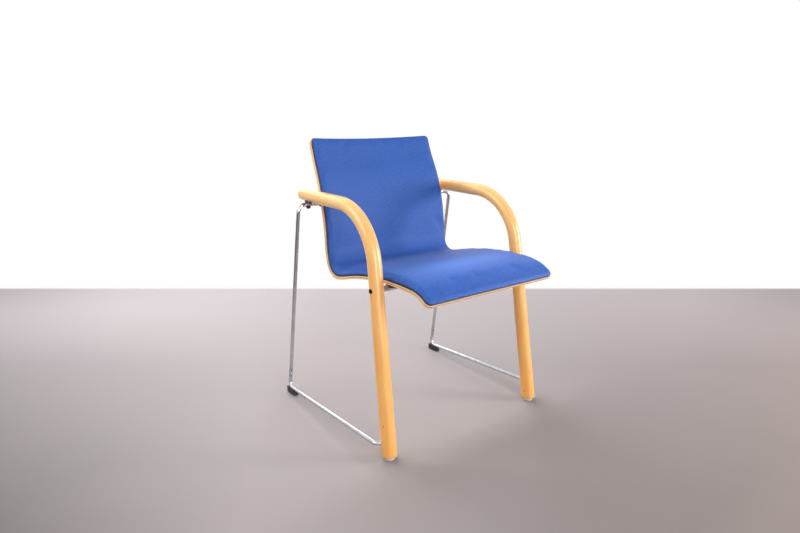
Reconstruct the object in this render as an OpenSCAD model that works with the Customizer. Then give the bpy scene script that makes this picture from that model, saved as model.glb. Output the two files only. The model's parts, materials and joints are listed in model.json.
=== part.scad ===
// Stacking visitor chair: moulded plywood shell with an upholstered front,
// two bent beech arm legs and one chromed wire that forms runners, rear legs and cross wire.
// Millimetres, +Z up, the sitter faces -Y, origin on the floor in the middle of the footprint.

/* [Wooden arm legs] */
// Distance of each leg axis, at the glide, from the edge of the seat
leg_beside = 42; // [40:1:60]
// Diameter of the leg at the floor
leg_foot_d = 41; // [36:0.5:44]
// Diameter through the bend and at the front of the armrest
arm_bend_d = 37; // [34:0.5:40]
// Diameter of the armrest at its rear end
arm_end_d = 34.5; // [30:0.5:38]
// Radius of the bend, at the axis
arm_bend_r = 164; // [140:1:180]
// Lean of the leg towards the rear, in degrees
leg_lean = 8.7; // [6:0.1:11]
// Lean of the leg towards the middle, in degrees
leg_tuck = 1.4; // [0.5:0.1:2]
// Rise of the armrest towards the rear, in degrees
arm_rise = 1.1; // [0:0.1:4]
// Length of the leg axis from the glide to where leg and armrest axes would cross
leg_reach = 629; // [610:1:650]
// Length of the armrest axis from that crossing to its rear end
arm_reach = 345.5; // [330:1:360]

/* [Wire frame] */
// Diameter of the chromed wire
wire_d = 11.5; // [10:0.5:13]
// Distance of each rear foot, at the wire axis, outside the leg axis at its glide
foot_beside = 27.5; // [24:0.5:34]
// Distance of each top corner outside the armrest bolt
corner_out = 37; // [34:1:42]
// Length of the footprint from the front glide to the rear wire corner, at the axes
footprint = 497; // [480:1:510]
// Height of the wire axis at the rear foot
rear_foot_h = 18.5; // [17.5:0.5:22]
// Height of the wire axis where it enters the leg
runner_front_h = 42; // [38:1:60]
// Distance of the cross wire and its bolts in front of the armrest's end
cross_inset = 25.5; // [22:0.5:30]
// Gap between the underside of the armrest and the cross wire
arm_gap = 4.5; // [4:0.5:10]
// Distance of the cross wire behind its two corners
cross_back = 11; // [8:0.5:12]
// Bend radius at the corners, at the axis
wire_bend_r = 18; // [14:1:20]
// Depth of the wire end in the wooden leg
wire_socket = 15; // [10:1:17]

/* [Shell] */
// Thickness of the moulded plywood
ply_t = 8; // [6:0.5:9]
// Width of the seat
seat_w = 451; // [420:1:455]
// How much narrower the back is at its top, on each side
top_taper = 5; // [0:0.5:15]
// Height of the front edge of the seat, at the underside of the plywood
seat_front_h = 416.1; // [398:0.1:428]
// Gap between the middle of the back and the cross wire
back_gap = 2; // [1:0.5:6]
// How far the middle of the back lies behind its edges
back_hollow = 22; // [16:0.5:22]
// Corner radius at the top of the back
top_corner_r = 15; // [10:1:40]
// Corner radius at the front of the seat
front_corner_r = 16; // [10:1:40]

/* [Upholstery] */
// Bare plywood border around the upholstery
border = 1.5; // [1:0.5:8]
// Thickness of the upholstery on the back, over the plywood
back_pad_t = 12; // [10:0.5:15]
// Thickness of the upholstery on the seat, over the plywood
seat_pad_t = 17; // [13:0.5:22]
// Extra height in the middle of the seat
seat_crown = 3; // [0:0.5:6]
// Width of the rounded edge of the upholstery
pad_edge = 15; // [8:1:22]
// Thickness of the fabric with its lining
cover_t = 1.2; // [0.8:0.1:2]
// Thickness of the board that carries foam and fabric
board_t = 2.5; // [2:0.5:4]

/* [Front crossbar] */
// Outer diameter of the tube
bar_d = 16; // [14:0.5:18]
// Wall of the tube
bar_wall = 1.5; // [1:0.25:2]
// Gap between the tube and the shell, filled by the saddles
saddle_t = 1.5; // [1:0.25:4]
// Depth of the tube end in the wooden leg
bar_pocket = 6; // [4:0.5:8]
// Distance of each saddle's middle from the edge of the shell
saddle_inset = 33.5; // [32:0.5:80]
// Length of each saddle
saddle_l = 56; // [50:1:60]

/* [Fasteners] */
// Shank diameter of the crossbar bolts and the seat screws
bolt_d = 6; // [5:1:6]
// Head diameter of the crossbar bolts
bolt_head_d = 12.5; // [11:0.5:14]
// Shank diameter of the armrest bolts
arm_bolt_d = 5; // [4:0.5:5]
// Diameter of the wooden plug over the armrest bolt
plug_d = 12; // [11:0.5:14]
// Diameter of the spacer between armrest and wire
spacer_d = 20; // [16:0.5:22]
// Diameter of the stacking bumper
bumper_d = 13; // [12:0.5:17]

/* [Feet] */
// Height of the front glides
glide_h = 6; // [5:0.5:9]
// Diameter of the front glides
glide_d = 24; // [20:1:30]
// Length of the rear pads
pad_l = 42; // [30:1:50]
// Width of the rear pads
pad_w = 17; // [15:0.5:22]

/* [Hidden] */
$fn = 64;

beech = "#E9B470";
plywood = "#EBC08A";
chrome = "#C9CCD1";
blue = "#4A6CC0";
black = "#1D1D20";
zinc = "#9EA2A8";
white = "#DCDCDA";
cream = "#E8DFA8";

// Clearance of a bolt, nail or wire in its hole, on the radius
hole_gap = 0.1;
// Gap between a piece and its curved seat
seat_gap = 0.12;
// Glue line between the shell and the upholstery
glue_gap = 0.3;
// Gap between soft layers
soft_gap = 0.25;
// A bent rod is this much fatter at its bends, on the radius
bend_swell = 0.12;
// How far a straight run reaches into a bend
run_lap = 0.5;
// How far a cutting body passes the face that it cuts
cut = 1;

// Vector helpers
function unit(v) = v / norm(v);
function flip(p) = [-p.x, p.y, p.z];
function clamp01(t) = max(0, min(1, t));
function ease(t) = 0.5 - 0.5 * cos(180 * clamp01(t));
// Rotation that turns +Z towards a direction
function aim(d) = [0, acos(d.z / norm(d)), atan2(d.y, d.x)];

// Widths that follow the seat
leg_foot_span = seat_w + 2 * leg_beside;
rear_foot_span = leg_foot_span + 2 * foot_beside;
back_top_w = seat_w - 2 * top_taper;

// Arm leg, right side. Its axis lies in one leaning plane.
leg_foot = [leg_foot_span / 2, 0, glide_h];
leg_dir = unit([-tan(leg_tuck), tan(leg_lean), 1]);
// The armrests lean together by this many degrees towards the rear
arm_toe = 0.6;
arm_dir = unit([-tan(arm_toe), 1, tan(arm_rise)]);
arm_corner = leg_foot + leg_dir * leg_reach;
arm_end = arm_corner + arm_dir * arm_reach;
arm_turn = acos(leg_dir * arm_dir);
arm_setback = arm_bend_r * tan(arm_turn / 2);
arm_bend_start = arm_corner - leg_dir * arm_setback;
arm_bend_stop = arm_corner + arm_dir * arm_setback;
leg_run = leg_reach - arm_setback;
arm_run = arm_reach - arm_setback;
// Point of the leg axis at a height
function leg_at(h) = leg_foot + leg_dir * ((h - glide_h) / leg_dir.z);
// Point of the armrest axis at a distance behind the glide
function arm_at(y) = arm_corner + arm_dir * ((y - arm_corner.y) / arm_dir.y);
// Radius of the leg at a height, and of the armrest at a distance behind the glide
function leg_r(h) = leg_foot_d / 2
    + (arm_bend_d - leg_foot_d) / 2 * ((h - glide_h) / leg_dir.z) / leg_run;
function arm_r(y) = arm_bend_d / 2
    + (arm_end_d - arm_bend_d) / 2 * (y - arm_bend_stop.y) / (arm_run * arm_dir.y);

// Wire, right side
wire_r = wire_d / 2;
cross_y = arm_end.y - cross_inset;
arm_axis_h = arm_at(cross_y).z;
arm_here_r = arm_r(cross_y);
arm_bolt = [arm_at(cross_y).x, cross_y];
cross_h = arm_axis_h - arm_here_r - arm_gap - wire_r;
foot_corner = [rear_foot_span / 2, footprint, rear_foot_h];
top_corner = [arm_bolt.x + corner_out, cross_y - cross_back, cross_h];
// The cross wire straightens out this far inside the top corner
shoulder_in = 24;
shoulder = [top_corner.x - shoulder_in, cross_y, cross_h];
// The runner kinks towards the leg at this distance behind and beside the leg axis
kink_back = 18.5;
kink_out = 29;
kink_bend_r = 14;
shoulder_bend_r = 16;
runner_leg = leg_at(runner_front_h);
kink = runner_leg + [kink_out, kink_back, 0];
runner_dir = unit(runner_leg - kink);
runner_end = runner_leg - runner_dir * (leg_r(runner_front_h) - wire_socket);
wire_side = [runner_end, kink, foot_corner, top_corner, shoulder];
wire_side_radii = [0, kink_bend_r, wire_bend_r, wire_bend_r, shoulder_bend_r];
mid_count = len(wire_side);
wire_points = [
    for (i = [0 : 2 * mid_count - 1])
        i < mid_count ? wire_side[i] : flip(wire_side[2 * mid_count - 1 - i])
];
wire_radii = [
    for (i = [0 : 2 * mid_count - 1])
        i < mid_count ? wire_side_radii[i] : wire_side_radii[2 * mid_count - 1 - i]
];

// Shell profile along its edge, from the top of the back to the front of the seat.
// Each stretch is an arc: its length and how far it turns towards the front, in degrees.
top_heading = 15;
upper_back_l = 87;
lumbar_l = 228;
lower_back_l = 54;
seat_bend_l = 73;
seat_rear_l = 44;
seat_flat_l = 291;
seat_nose_l = 62;
shell_arcs = [
    [upper_back_l, 11], [lumbar_l, -24.5], [lower_back_l, 19],
    [seat_bend_l, 80], [seat_rear_l, 5], [seat_flat_l, -20], [seat_nose_l, -38.5]
];
// How many of these stretches make up the back, and the back with its bend into the seat
back_arcs = 3;
bend_arcs = 4;
function total(list, n) = n <= 0 ? 0 : list[n - 1][0] + total(list, n - 1);
function turned(list, n) = n <= 0 ? top_heading : list[n - 1][1] + turned(list, n - 1);
shell_len = total(shell_arcs, len(shell_arcs));
// Step along an arc from a point [y, z] with a heading from straight down
function arc_step(p, h, l, a) =
    abs(a) < 0.001
        ? p - l * [sin(h), cos(h)]
        : p - (l * 180 / (a * PI)) * [cos(h) - cos(h + a), sin(h + a) - sin(h)];
function arc_end(p, i) = arc_step(p, turned(shell_arcs, i), shell_arcs[i][0], shell_arcs[i][1]);
arc_starts = [
    for (i = 0, p = [0, 0]; i < len(shell_arcs); p = arc_end(p, i), i = i + 1) p
];
function arc_of(s, i = 0) =
    i >= len(shell_arcs) - 1 || s <= total(shell_arcs, i + 1) ? i : arc_of(s, i + 1);
// Heading and point of the edge profile at a length s from the top; the top is its origin
function heading(s) =
    let (i = arc_of(s), l = s - total(shell_arcs, i))
    turned(shell_arcs, i) + shell_arcs[i][1] * l / shell_arcs[i][0];
function under_top(s) =
    let (i = arc_of(s), l = s - total(shell_arcs, i))
    arc_step(arc_starts[i], turned(shell_arcs, i), l, shell_arcs[i][1] * l / shell_arcs[i][0]);
shell_top_h = seat_front_h - under_top(shell_len)[1];
function profile(s) = under_top(s) + [0, shell_top_h];
// The hollow of the back fades out towards the seat between these two lengths
hollow_full = 150;
hollow_none = 545;
function hollow(s) = back_hollow * (1 - ease((s - hollow_full) / (hollow_none - hollow_full)));
// The shell is set so that the middle of its back clears the cross wire by the named gap
search_step = 4;
behind_wire = [
    for (s = [0 : search_step : total(shell_arcs, bend_arcs)])
        let (p = profile(s) + hollow(s) * [cos(heading(s)), -sin(heading(s))])
        if (abs(p[1] - cross_h) < wire_r + search_step) p[0] - cross_y
            + (abs(p[1] - cross_h) < wire_r ? sqrt(wire_r * wire_r - pow(p[1] - cross_h, 2)) : 0)
];
shell_back = -max(behind_wire) - back_gap;
function edge_at(s) = profile(s) + [shell_back, 0];
// Half the width of the shell, with its round corners
widen_len = 200;
function side_w(s) = back_top_w / 2 + (seat_w - back_top_w) / 2 * ease(s / widen_len);
function corner_cut(d, r) = d >= r ? 0 : r - sqrt(max(0, r * r - (r - d) * (r - d)));
function half_w(s) = side_w(s) - corner_cut(s, top_corner_r) - corner_cut(shell_len - s, front_corner_r);
// Normal towards the sitter, and the point at length s, place x and height n over the outer face
function shell_normal(s, x) =
    let (h = heading(s), w = side_w(s))
    unit([-2 * hollow(s) * x / (w * w), -cos(h), sin(h)]);
function shell_at(s, x, n) =
    let (h = heading(s), e = edge_at(s), w = side_w(s), k = hollow(s) * (1 - (x / w) * (x / w)))
    [x, e[0] + cos(h) * k, e[1] - sin(h) * k] + n * shell_normal(s, x);

// Stations of the layers along the profile: shared, so that the layers lie face to face.
// No facet is longer than facet_len or turns by more than facet_turn.
corner_steps = 4;
facet_len = 45;
facet_turn = 8;
function facets(a) = ceil(max(a[0] / facet_len, abs(a[1]) / facet_turn));
body_s = [
    for (i = [0 : len(shell_arcs) - 1])
        let (a = shell_arcs[i], n = facets(a))
        for (k = [0 : n - 1]) total(shell_arcs, i) + a[0] * k / n
];
function round_off(r, n) = [for (i = [0 : n - 1]) r * (1 - cos(90 * i / n))];
function reversed(list) = [for (i = [len(list) - 1 : -1 : 0]) list[i]];
function stations(inset, r0, r1, steps) =
    let (from = inset + r0, to = shell_len - inset - r1)
    concat([for (d = round_off(r0, steps)) inset + d],
        [from],
        [for (s = body_s) if (s > from + r0 / 4 && s < to - r1 / 4) s],
        [to],
        [for (d = reversed(round_off(r1, steps))) shell_len - inset - d]);
// Columns that all layers share, as shares of half the width
shared_cols = [-0.78, -0.5, -0.25, 0, 0.25, 0.5, 0.78];
function shared_x(s) = [for (c = shared_cols) c * side_w(s)];
function shell_face(n) = [
    for (s = stations(0, top_corner_r, front_corner_r, corner_steps))
        let (w = half_w(s))
        [for (x = concat([-w], shared_x(s), [w])) shell_at(s, x, n)]
];

// Layers of the upholstery: an outline set in by inset, a base height and a crowned thickness
edge_steps = 2;
seat_blend_from = 330;
seat_blend_to = 500;
nose_blend = 110;
nose_pad_t = 11;
// Height of the upright edge, where the fabric goes round the board
pad_wall = board_t + cover_t + 1.5;
function pad_half(s, inset) =
    let (r0 = max(1, top_corner_r - inset), r1 = max(1, front_corner_r - inset))
    side_w(s) - inset - corner_cut(s - inset, r0) - corner_cut(shell_len - inset - s, r1);
function pad_full(s) =
    let (body = back_pad_t + (seat_pad_t - back_pad_t)
        * ease((s - seat_blend_from) / (seat_blend_to - seat_blend_from)))
    body + (nose_pad_t - seat_pad_t) * ease((s - shell_len + nose_blend) / nose_blend);
function crown(s, t) =
    seat_crown * ease((s - seat_blend_from) / (seat_blend_to - seat_blend_from)) * (1 - t * t);
function swell(d) = d >= pad_edge ? 1 : sqrt(max(0, 1 - (1 - d / pad_edge) * (1 - d / pad_edge)));
// Height of the outer skin over the plywood, where d is measured from the skin's own outline
function skin_h(s, t, ds, dx) =
    pad_wall + (pad_full(s) - pad_wall) * swell(ds) * swell(dx) + crown(s, t) * swell(ds);
function pad_s(inset) = stations(inset, pad_edge, pad_edge, edge_steps);
function pad_x(s, w) =
    let (side = round_off(pad_edge, edge_steps))
    concat([for (d = side) d - w], [pad_edge - w], shared_x(s), [w - pad_edge],
        [for (d = reversed(side)) w - d]);
// Grid of the skin, with its outline set in by inset and its surface lower by less
function skin_grid(inset, less) =
    [for (s = pad_s(inset))
        let (w = pad_half(s, inset), ds = min(s - inset, shell_len - inset - s))
        [for (x = pad_x(s, w))
            shell_at(s, x, ply_t - less + skin_h(s, x / w, ds, w - abs(x)))]];
function base_grid(inset, n) = [
    for (s = pad_s(inset))
        let (w = pad_half(s, inset))
        [for (x = pad_x(s, w)) shell_at(s, x, n)]
];
// A grid with its own border repeated at another height, as the foot of a side wall
function with_foot(grid, foot) =
    let (r = len(grid) - 1, c = len(grid[0]) - 1)
    [for (i = [-1 : r + 1])
        let (gi = max(0, min(r, i)))
        [for (j = [-1 : c + 1])
            let (gj = max(0, min(c, j)), out = i < 0 || i > r || j < 0 || j > c)
            out ? foot[gi][gj] : grid[gi][gj]]];

// Crossbar: it lies on the leg axes, under the shell by the named gap
bar_r = bar_d / 2;
// Length along the shell of the place over a point at y
function s_over(y, lo = total(shell_arcs, bend_arcs), hi = shell_len) =
    hi - lo < 0.001 ? lo
    : edge_at((lo + hi) / 2)[0] > y ? s_over(y, (lo + hi) / 2, hi)
    : s_over(y, lo, (lo + hi) / 2);
// The height settles in a few rounds, because leg and seat cross almost squarely
settle_rounds = 6;
function bar_height(h, n) =
    n <= 0 ? h : bar_height(edge_at(s_over(leg_at(h).y))[1] - saddle_t - bar_r, n - 1);
bar_h = bar_height(seat_front_h, settle_rounds);
bar_leg = leg_at(bar_h);
bar_half = bar_leg.x - leg_r(bar_h) + bar_pocket;
bar_s = s_over(bar_leg.y);
// The screws stand square on the shell; this turns +Z to that direction
bar_tilt = [90 - heading(bar_s), 0, 0];
// Distance from the tube axis to the underside of the shell, along the screws
bar_to_shell = (saddle_t + bar_r) * sin(heading(bar_s));
saddle_x = seat_w / 2 - saddle_inset;
saddle_w = 24;
saddle_foot = 1;
// The saddles end this far under the shell
saddle_gap = 0.35;
screw_offset = 16;
screw_x = [saddle_x - screw_offset, saddle_x + screw_offset];
insert_l = 22;
insert_gap = 0.05;
bolt_head_h = 4;
bolt_head_proud = 1.5;
bolt_head_edge = 1;
bolt_in = 16;
// Hexagon sockets in the screw heads
key_d = 4.6;
small_key_d = 3.5;
key_deep = 2.5;
tee_barrel_d = 8;
tee_flange_d = 17;
tee_flange_t = 1.2;
// The flanges stand this far over the face that they pull on
tee_gap = 0.3;
// The barrels start this far inside the outer face
tee_sunk = 2;
screw_head_d = 10;
screw_head_h = 3.5;
screw_head_gap = 0.3;
tube_in_r = bar_r - bar_wall;
// Underside of the screw head that bears on the inside of the tube, from the tube axis
screw_head_top = sqrt(pow(tube_in_r, 2) - pow(screw_head_d / 2, 2));
// The screws end this far under the front face of the plywood
screw_short = 0.5;
bar_bolt_seat = bar_leg.x + leg_r(bar_h) + bolt_head_proud - bolt_head_h;
// Armrest bolt, its plug, nut and bumper
arm_head_d = 9;
arm_head_h = 4;
plug_t = 4;
plug_sink = 1;
plug_gap = 0.3;
plug_top = arm_axis_h + arm_here_r - plug_sink;
plug_floor = plug_top - plug_t;
arm_head_floor = plug_floor - arm_head_h - plug_gap;
arm_nut_af = 8;
arm_nut_h = 4;
arm_bolt_out = 1.5;
arm_bolt_bottom = cross_h - wire_r - arm_nut_h - arm_bolt_out;
bumper_h = 8.5;
bumper_lap = 4;
// The bottom of the bumper is rounded over this height
bumper_dome = 2.5;
bumper_room = 1;
spacer_lap = 1;
// Back clips
clip_inset = 25.5;
clip_x = seat_w / 2 - clip_inset;
clip_w = 24;
clip_wall = 3;
clip_screw_up = 18;
clip_foot_up = 27;
clip_depth = 30;
clip_screw_grip = 8;
// Length along the shell at the height of a point behind the back
function s_behind(z, x, lo = 0, hi = total(shell_arcs, back_arcs)) =
    hi - lo < 0.01 ? lo : shell_at((lo + hi) / 2, x, 0).z > z ? s_behind(z, x, (lo + hi) / 2, hi)
    : s_behind(z, x, lo, (lo + hi) / 2);
clip_s = s_behind(cross_h + clip_screw_up, clip_x);
clip_seat = shell_at(clip_s, clip_x, 0);
clip_dir = shell_normal(clip_s, clip_x);
back_screw_head_d = 9;
back_screw_head_h = 3;
back_tee_barrel_d = 7;
back_screw_d = 5;
// Feet
nail_d = 2.5;
nail_l = 22;
nail_head_d = 12;
nail_head_t = 1;
nail_hole_deeper = 1;
glide_plate_t = 2;
glide_edge = 1.2;
pad_rear = foot_corner.y + wire_r - 0.5;
pad_h = rear_foot_h + 1;
pad_edge_cut = 3;

// Everything is drawn from the front glides, then moved so that it is centred front to rear
front_grids = [skin_grid(border, 0), shell_face(ply_t), shell_face(0)];
front_most = min([for (grid = front_grids) for (row = grid) for (p = row) p.y]);
rear_most = foot_corner.y + wire_r;
shift = [0, -(front_most + rear_most) / 2, 0];

// A closed slab between two grids of the same size
module slab(front, back) {
    r = len(front);
    c = len(front[0]);
    n = r * c;
    edge = concat(
        [for (j = [0 : c - 2]) j],
        [for (i = [0 : r - 2]) i * c + c - 1],
        [for (j = [c - 1 : -1 : 1]) (r - 1) * c + j],
        [for (i = [r - 1 : -1 : 1]) i * c]
    );
    m = len(edge);
    polyhedron(
        points = concat([for (row = front) each row], [for (row = back) each row]),
        faces = concat(
            [for (i = [0 : r - 2]) for (j = [0 : c - 2]) [i * c + j, (i + 1) * c + j, i * c + j + 1]],
            [for (i = [0 : r - 2]) for (j = [0 : c - 2])
                [i * c + j + 1, (i + 1) * c + j, (i + 1) * c + j + 1]],
            [for (i = [0 : r - 2]) for (j = [0 : c - 2])
                [n + i * c + j, n + i * c + j + 1, n + (i + 1) * c + j]],
            [for (i = [0 : r - 2]) for (j = [0 : c - 2])
                [n + i * c + j + 1, n + (i + 1) * c + j + 1, n + (i + 1) * c + j]],
            [for (k = [0 : m - 1]) [edge[k], edge[(k + 1) % m], n + edge[k]]],
            [for (k = [0 : m - 1]) [edge[(k + 1) % m], n + edge[(k + 1) % m], n + edge[k]]]
        )
    );
}

// A cylinder or cone from one point to another
module run(a, b, r1, r2) {
    translate(a)
        rotate(aim(b - a))
            cylinder(h = norm(b - a), r1 = r1, r2 = r2);
}

// A round bend at corner p between two directions
module bend(p, d1, d2, bend_r, r) {
    turn = acos(d1 * d2);
    start = p - d1 * bend_r * tan(turn / 2);
    up = unit(cross(d1, d2));
    out = cross(d1, up);
    center = start - out * bend_r;
    multmatrix([
        [out.x, d1.x, up.x, center.x],
        [out.y, d1.y, up.y, center.y],
        [out.z, d1.z, up.z, center.z],
        [0, 0, 0, 1]
    ])
        rotate_extrude(angle = turn)
            translate([bend_r, 0])
                circle(r = r);
}

// A bent rod through corner points
function corner_setback(pts, radii, i) =
    i <= 0 || i >= len(pts) - 1 ? 0
    : radii[i] * tan(acos(unit(pts[i] - pts[i - 1]) * unit(pts[i + 1] - pts[i])) / 2) - run_lap;
module bent_rod(pts, radii, r) {
    for (i = [0 : len(pts) - 2]) {
        d = unit(pts[i + 1] - pts[i]);
        from = pts[i] + d * corner_setback(pts, radii, i);
        to = pts[i + 1] - d * corner_setback(pts, radii, i + 1);
        run(from, to, r, r);
    }
    for (i = [1 : len(pts) - 2]) {
        before = unit(pts[i] - pts[i - 1]);
        after = unit(pts[i + 1] - pts[i]);
        bend(pts[i], before, after, radii[i], r + bend_swell);
    }
}

// Armrest bolt hole, from the counterbore at the top to the underside
module arm_bolt_hole() {
    translate([arm_bolt.x, arm_bolt.y, arm_axis_h - arm_bend_d])
        cylinder(h = 2 * arm_bend_d, r = arm_bolt_d / 2 + hole_gap);
    translate([arm_bolt.x, arm_bolt.y, arm_head_floor])
        cylinder(h = arm_bend_d, r = plug_d / 2 + hole_gap);
}

module arm_leg() {
    difference() {
        union() {
            run(leg_foot - leg_dir * glide_h, arm_bend_start + leg_dir * run_lap,
                leg_r(0), arm_bend_d / 2 - bend_swell);
            bend(arm_corner, leg_dir, arm_dir, arm_bend_r, arm_bend_d / 2);
            run(arm_bend_stop - arm_dir * run_lap, arm_end, arm_bend_d / 2 - bend_swell, arm_end_d / 2);
            translate(arm_end)
                rotate(aim(arm_dir))
                    sphere(r = arm_end_d / 2 - bend_swell);
        }
        // The foot is cut level for the glide
        translate([leg_foot.x - leg_foot_d, -leg_foot_d, -leg_foot_d])
            cube([2 * leg_foot_d, 2 * leg_foot_d, leg_foot_d + glide_h]);
        // Nail hole of the glide
        translate([leg_foot.x, leg_foot.y, 0])
            cylinder(h = glide_h + nail_l + nail_hole_deeper, r = nail_d / 2 + hole_gap);
        // Socket for the runner end
        run(runner_end + runner_dir * seat_gap, kink, wire_r + hole_gap, wire_r + hole_gap);
        // Pocket for the crossbar end, bolt hole and counterbore
        translate([bar_half + seat_gap, bar_leg.y, bar_h])
            rotate([0, -90, 0])
                cylinder(h = leg_foot_d, r = bar_r + hole_gap);
        translate([bar_half - cut, bar_leg.y, bar_h])
            rotate([0, 90, 0])
                cylinder(h = 2 * leg_foot_d, r = bolt_d / 2 + hole_gap);
        translate([bar_bolt_seat, bar_leg.y, bar_h])
            rotate([0, 90, 0])
                cylinder(h = leg_foot_d, r = bolt_head_d / 2 + hole_gap);
        arm_bolt_hole();
    }
}

module arm_leg_left() {
    color(beech)
        mirror([1, 0, 0])
            arm_leg();
}

module arm_leg_right() {
    color(beech)
        arm_leg();
}

// One wire: runner, rear leg, cross wire, rear leg, runner
module wire_frame() {
    color(chrome)
        difference() {
            bent_rod(wire_points, wire_radii, wire_r);
            for (side = [-1, 1]) {
                translate([side * arm_bolt.x, arm_bolt.y, cross_h - wire_d])
                    cylinder(h = 2 * wire_d, r = arm_bolt_d / 2 + hole_gap);
            }
        }
}

// Tube under the seat, with holes for the seat screws
module crossbar() {
    color(chrome)
        translate([0, bar_leg.y, bar_h])
            difference() {
                rotate([0, 90, 0])
                    cylinder(h = 2 * bar_half, r = bar_r, center = true);
                rotate([0, 90, 0])
                    cylinder(h = 2 * bar_half + 2 * cut, r = tube_in_r, center = true);
                for (side = [-1, 1], x = screw_x) {
                    translate([side * x, 0, 0])
                        rotate(bar_tilt) {
                            cylinder(h = bar_d, r = bolt_d / 2 + hole_gap);
                            translate([0, 0, -bar_d])
                                cylinder(h = bar_d, r = screw_head_d / 2 + screw_head_gap);
                        }
                }
            }
}

// Threaded sleeves pressed into the ends of the tube
module crossbar_inserts() {
    color(zinc)
        for (side = [-1, 1]) {
            translate([side * (bar_half - insert_l / 2), bar_leg.y, bar_h])
                rotate([0, 90, 0])
                    difference() {
                        cylinder(h = insert_l, r = tube_in_r - insert_gap, center = true);
                        cylinder(h = insert_l + 2 * cut, r = bolt_d / 2 + hole_gap, center = true);
                    }
        }
}

// Wide-headed furniture bolts through the legs into the tube
module crossbar_bolt() {
    translate([bar_bolt_seat, bar_leg.y, bar_h])
        rotate([0, 90, 0])
            difference() {
                union() {
                    cylinder(h = bolt_head_h - bolt_head_edge, r = bolt_head_d / 2);
                    translate([0, 0, bolt_head_h - bolt_head_edge])
                        cylinder(h = bolt_head_edge, r1 = bolt_head_d / 2,
                            r2 = bolt_head_d / 2 - bolt_head_edge);
                    translate([0, 0, -bar_bolt_seat + bar_half - bolt_in])
                        cylinder(h = bar_bolt_seat - bar_half + bolt_in + cut, r = bolt_d / 2);
                }
                translate([0, 0, bolt_head_h - key_deep])
                    cylinder(h = key_deep + cut, d = key_d, $fn = 6);
            }
}

module crossbar_bolts() {
    color(black) {
        crossbar_bolt();
        mirror([1, 0, 0])
            crossbar_bolt();
    }
}

// Frame on the tube axis, +Z along the seat screws
module on_bar(x) {
    translate([x, bar_leg.y, bar_h])
        rotate(bar_tilt)
            children();
}

// Moulded saddle between the tube and the underside of the shell
module saddle() {
    difference() {
        on_bar(saddle_x)
            translate([-saddle_l / 2, -saddle_w / 2, saddle_foot])
                cube([saddle_l, saddle_w, bar_to_shell - saddle_gap - saddle_foot]);
        // Seat for the tube
        on_bar(0)
            rotate([0, 90, 0])
                cylinder(h = 2 * saddle_x, r = bar_r + seat_gap);
        for (x = screw_x) {
            on_bar(x)
                cylinder(h = saddle_w, r = bolt_d / 2 + hole_gap);
        }
    }
}

module saddle_left() {
    color(black)
        mirror([1, 0, 0])
            saddle();
}

module saddle_right() {
    color(black)
        saddle();
}

// Screws from inside the tube up into the tee nuts of the shell
module seat_screws() {
    color(zinc)
        for (side = [-1, 1], x = screw_x) {
            on_bar(side * x)
                translate([0, 0, screw_head_top - screw_head_h])
                    difference() {
                        union() {
                            cylinder(h = screw_head_h, r = screw_head_d / 2);
                            cylinder(h = bar_to_shell + ply_t - screw_short - screw_head_top + screw_head_h,
                                r = bolt_d / 2);
                        }
                        translate([0, 0, -cut])
                            cylinder(h = cut + key_deep, d = key_d, $fn = 6);
                    }
        }
}

// Tee nut with its barrel in the plywood and its flange on the front face
module tee_nut(barrel_d, screw_d) {
    difference() {
        union() {
            translate([0, 0, tee_sunk])
                cylinder(h = ply_t + tee_gap + tee_flange_t - tee_sunk, r = barrel_d / 2);
            translate([0, 0, ply_t + tee_gap])
                cylinder(h = tee_flange_t, r = tee_flange_d / 2);
        }
        cylinder(h = 2 * ply_t, r = screw_d / 2 + hole_gap);
    }
}

// Frame on the outer face of the back at a clip, +Z towards the sitter
module on_back(side) {
    seat = [side * clip_seat.x, clip_seat.y, clip_seat.z];
    dir = [side * clip_dir.x, clip_dir.y, clip_dir.z];
    translate(seat)
        rotate(aim(dir))
            children();
}

module seat_tee_nuts() {
    color(zinc)
        for (side = [-1, 1], x = screw_x) {
            on_bar(side * x)
                translate([0, 0, bar_to_shell])
                    tee_nut(tee_barrel_d, bolt_d);
        }
}

module back_tee_nuts() {
    color(zinc)
        for (side = [-1, 1]) {
            on_back(side)
                tee_nut(back_tee_barrel_d, back_screw_d);
        }
}

// Holes through the layers for the tee nuts
module tee_holes(seat_r, back_r) {
    for (side = [-1, 1]) {
        for (x = screw_x) {
            on_bar(side * x)
                cylinder(h = bar_to_shell + 4 * ply_t, r = seat_r);
        }
        on_back(side)
            translate([0, 0, -ply_t])
                cylinder(h = 4 * ply_t, r = back_r);
    }
}

// One-piece moulded plywood seat and back
module seat_shell() {
    color(plywood)
        difference() {
            slab(shell_face(ply_t), shell_face(0));
            tee_holes(tee_barrel_d / 2 + hole_gap, back_tee_barrel_d / 2 + hole_gap);
        }
}

// Thin board glued to the shell, which carries the upholstery
board_inset = border + cover_t + soft_gap;
board_base = ply_t + glue_gap;
tee_room = 0.5;
module upholstery_board() {
    color(plywood)
        difference() {
            slab(base_grid(board_inset, board_base + board_t), base_grid(board_inset, board_base));
            tee_holes(tee_flange_d / 2 + tee_room, tee_flange_d / 2 + tee_room);
        }
}

// Foam between the board and the fabric
foam_inset = border + cover_t + soft_gap;
foam_base = board_base + board_t + soft_gap;
module foam_pad() {
    color(cream)
        slab(skin_grid(foam_inset, cover_t + soft_gap), base_grid(foam_inset, foam_base));
}

// Fabric stretched over the foam and round its edge
module fabric_cover() {
    outer = with_foot(skin_grid(border, 0), base_grid(border, board_base));
    inner = with_foot(skin_grid(border + cover_t, cover_t), base_grid(border + cover_t, board_base));
    color(blue)
        slab(outer, inner);
}

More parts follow.
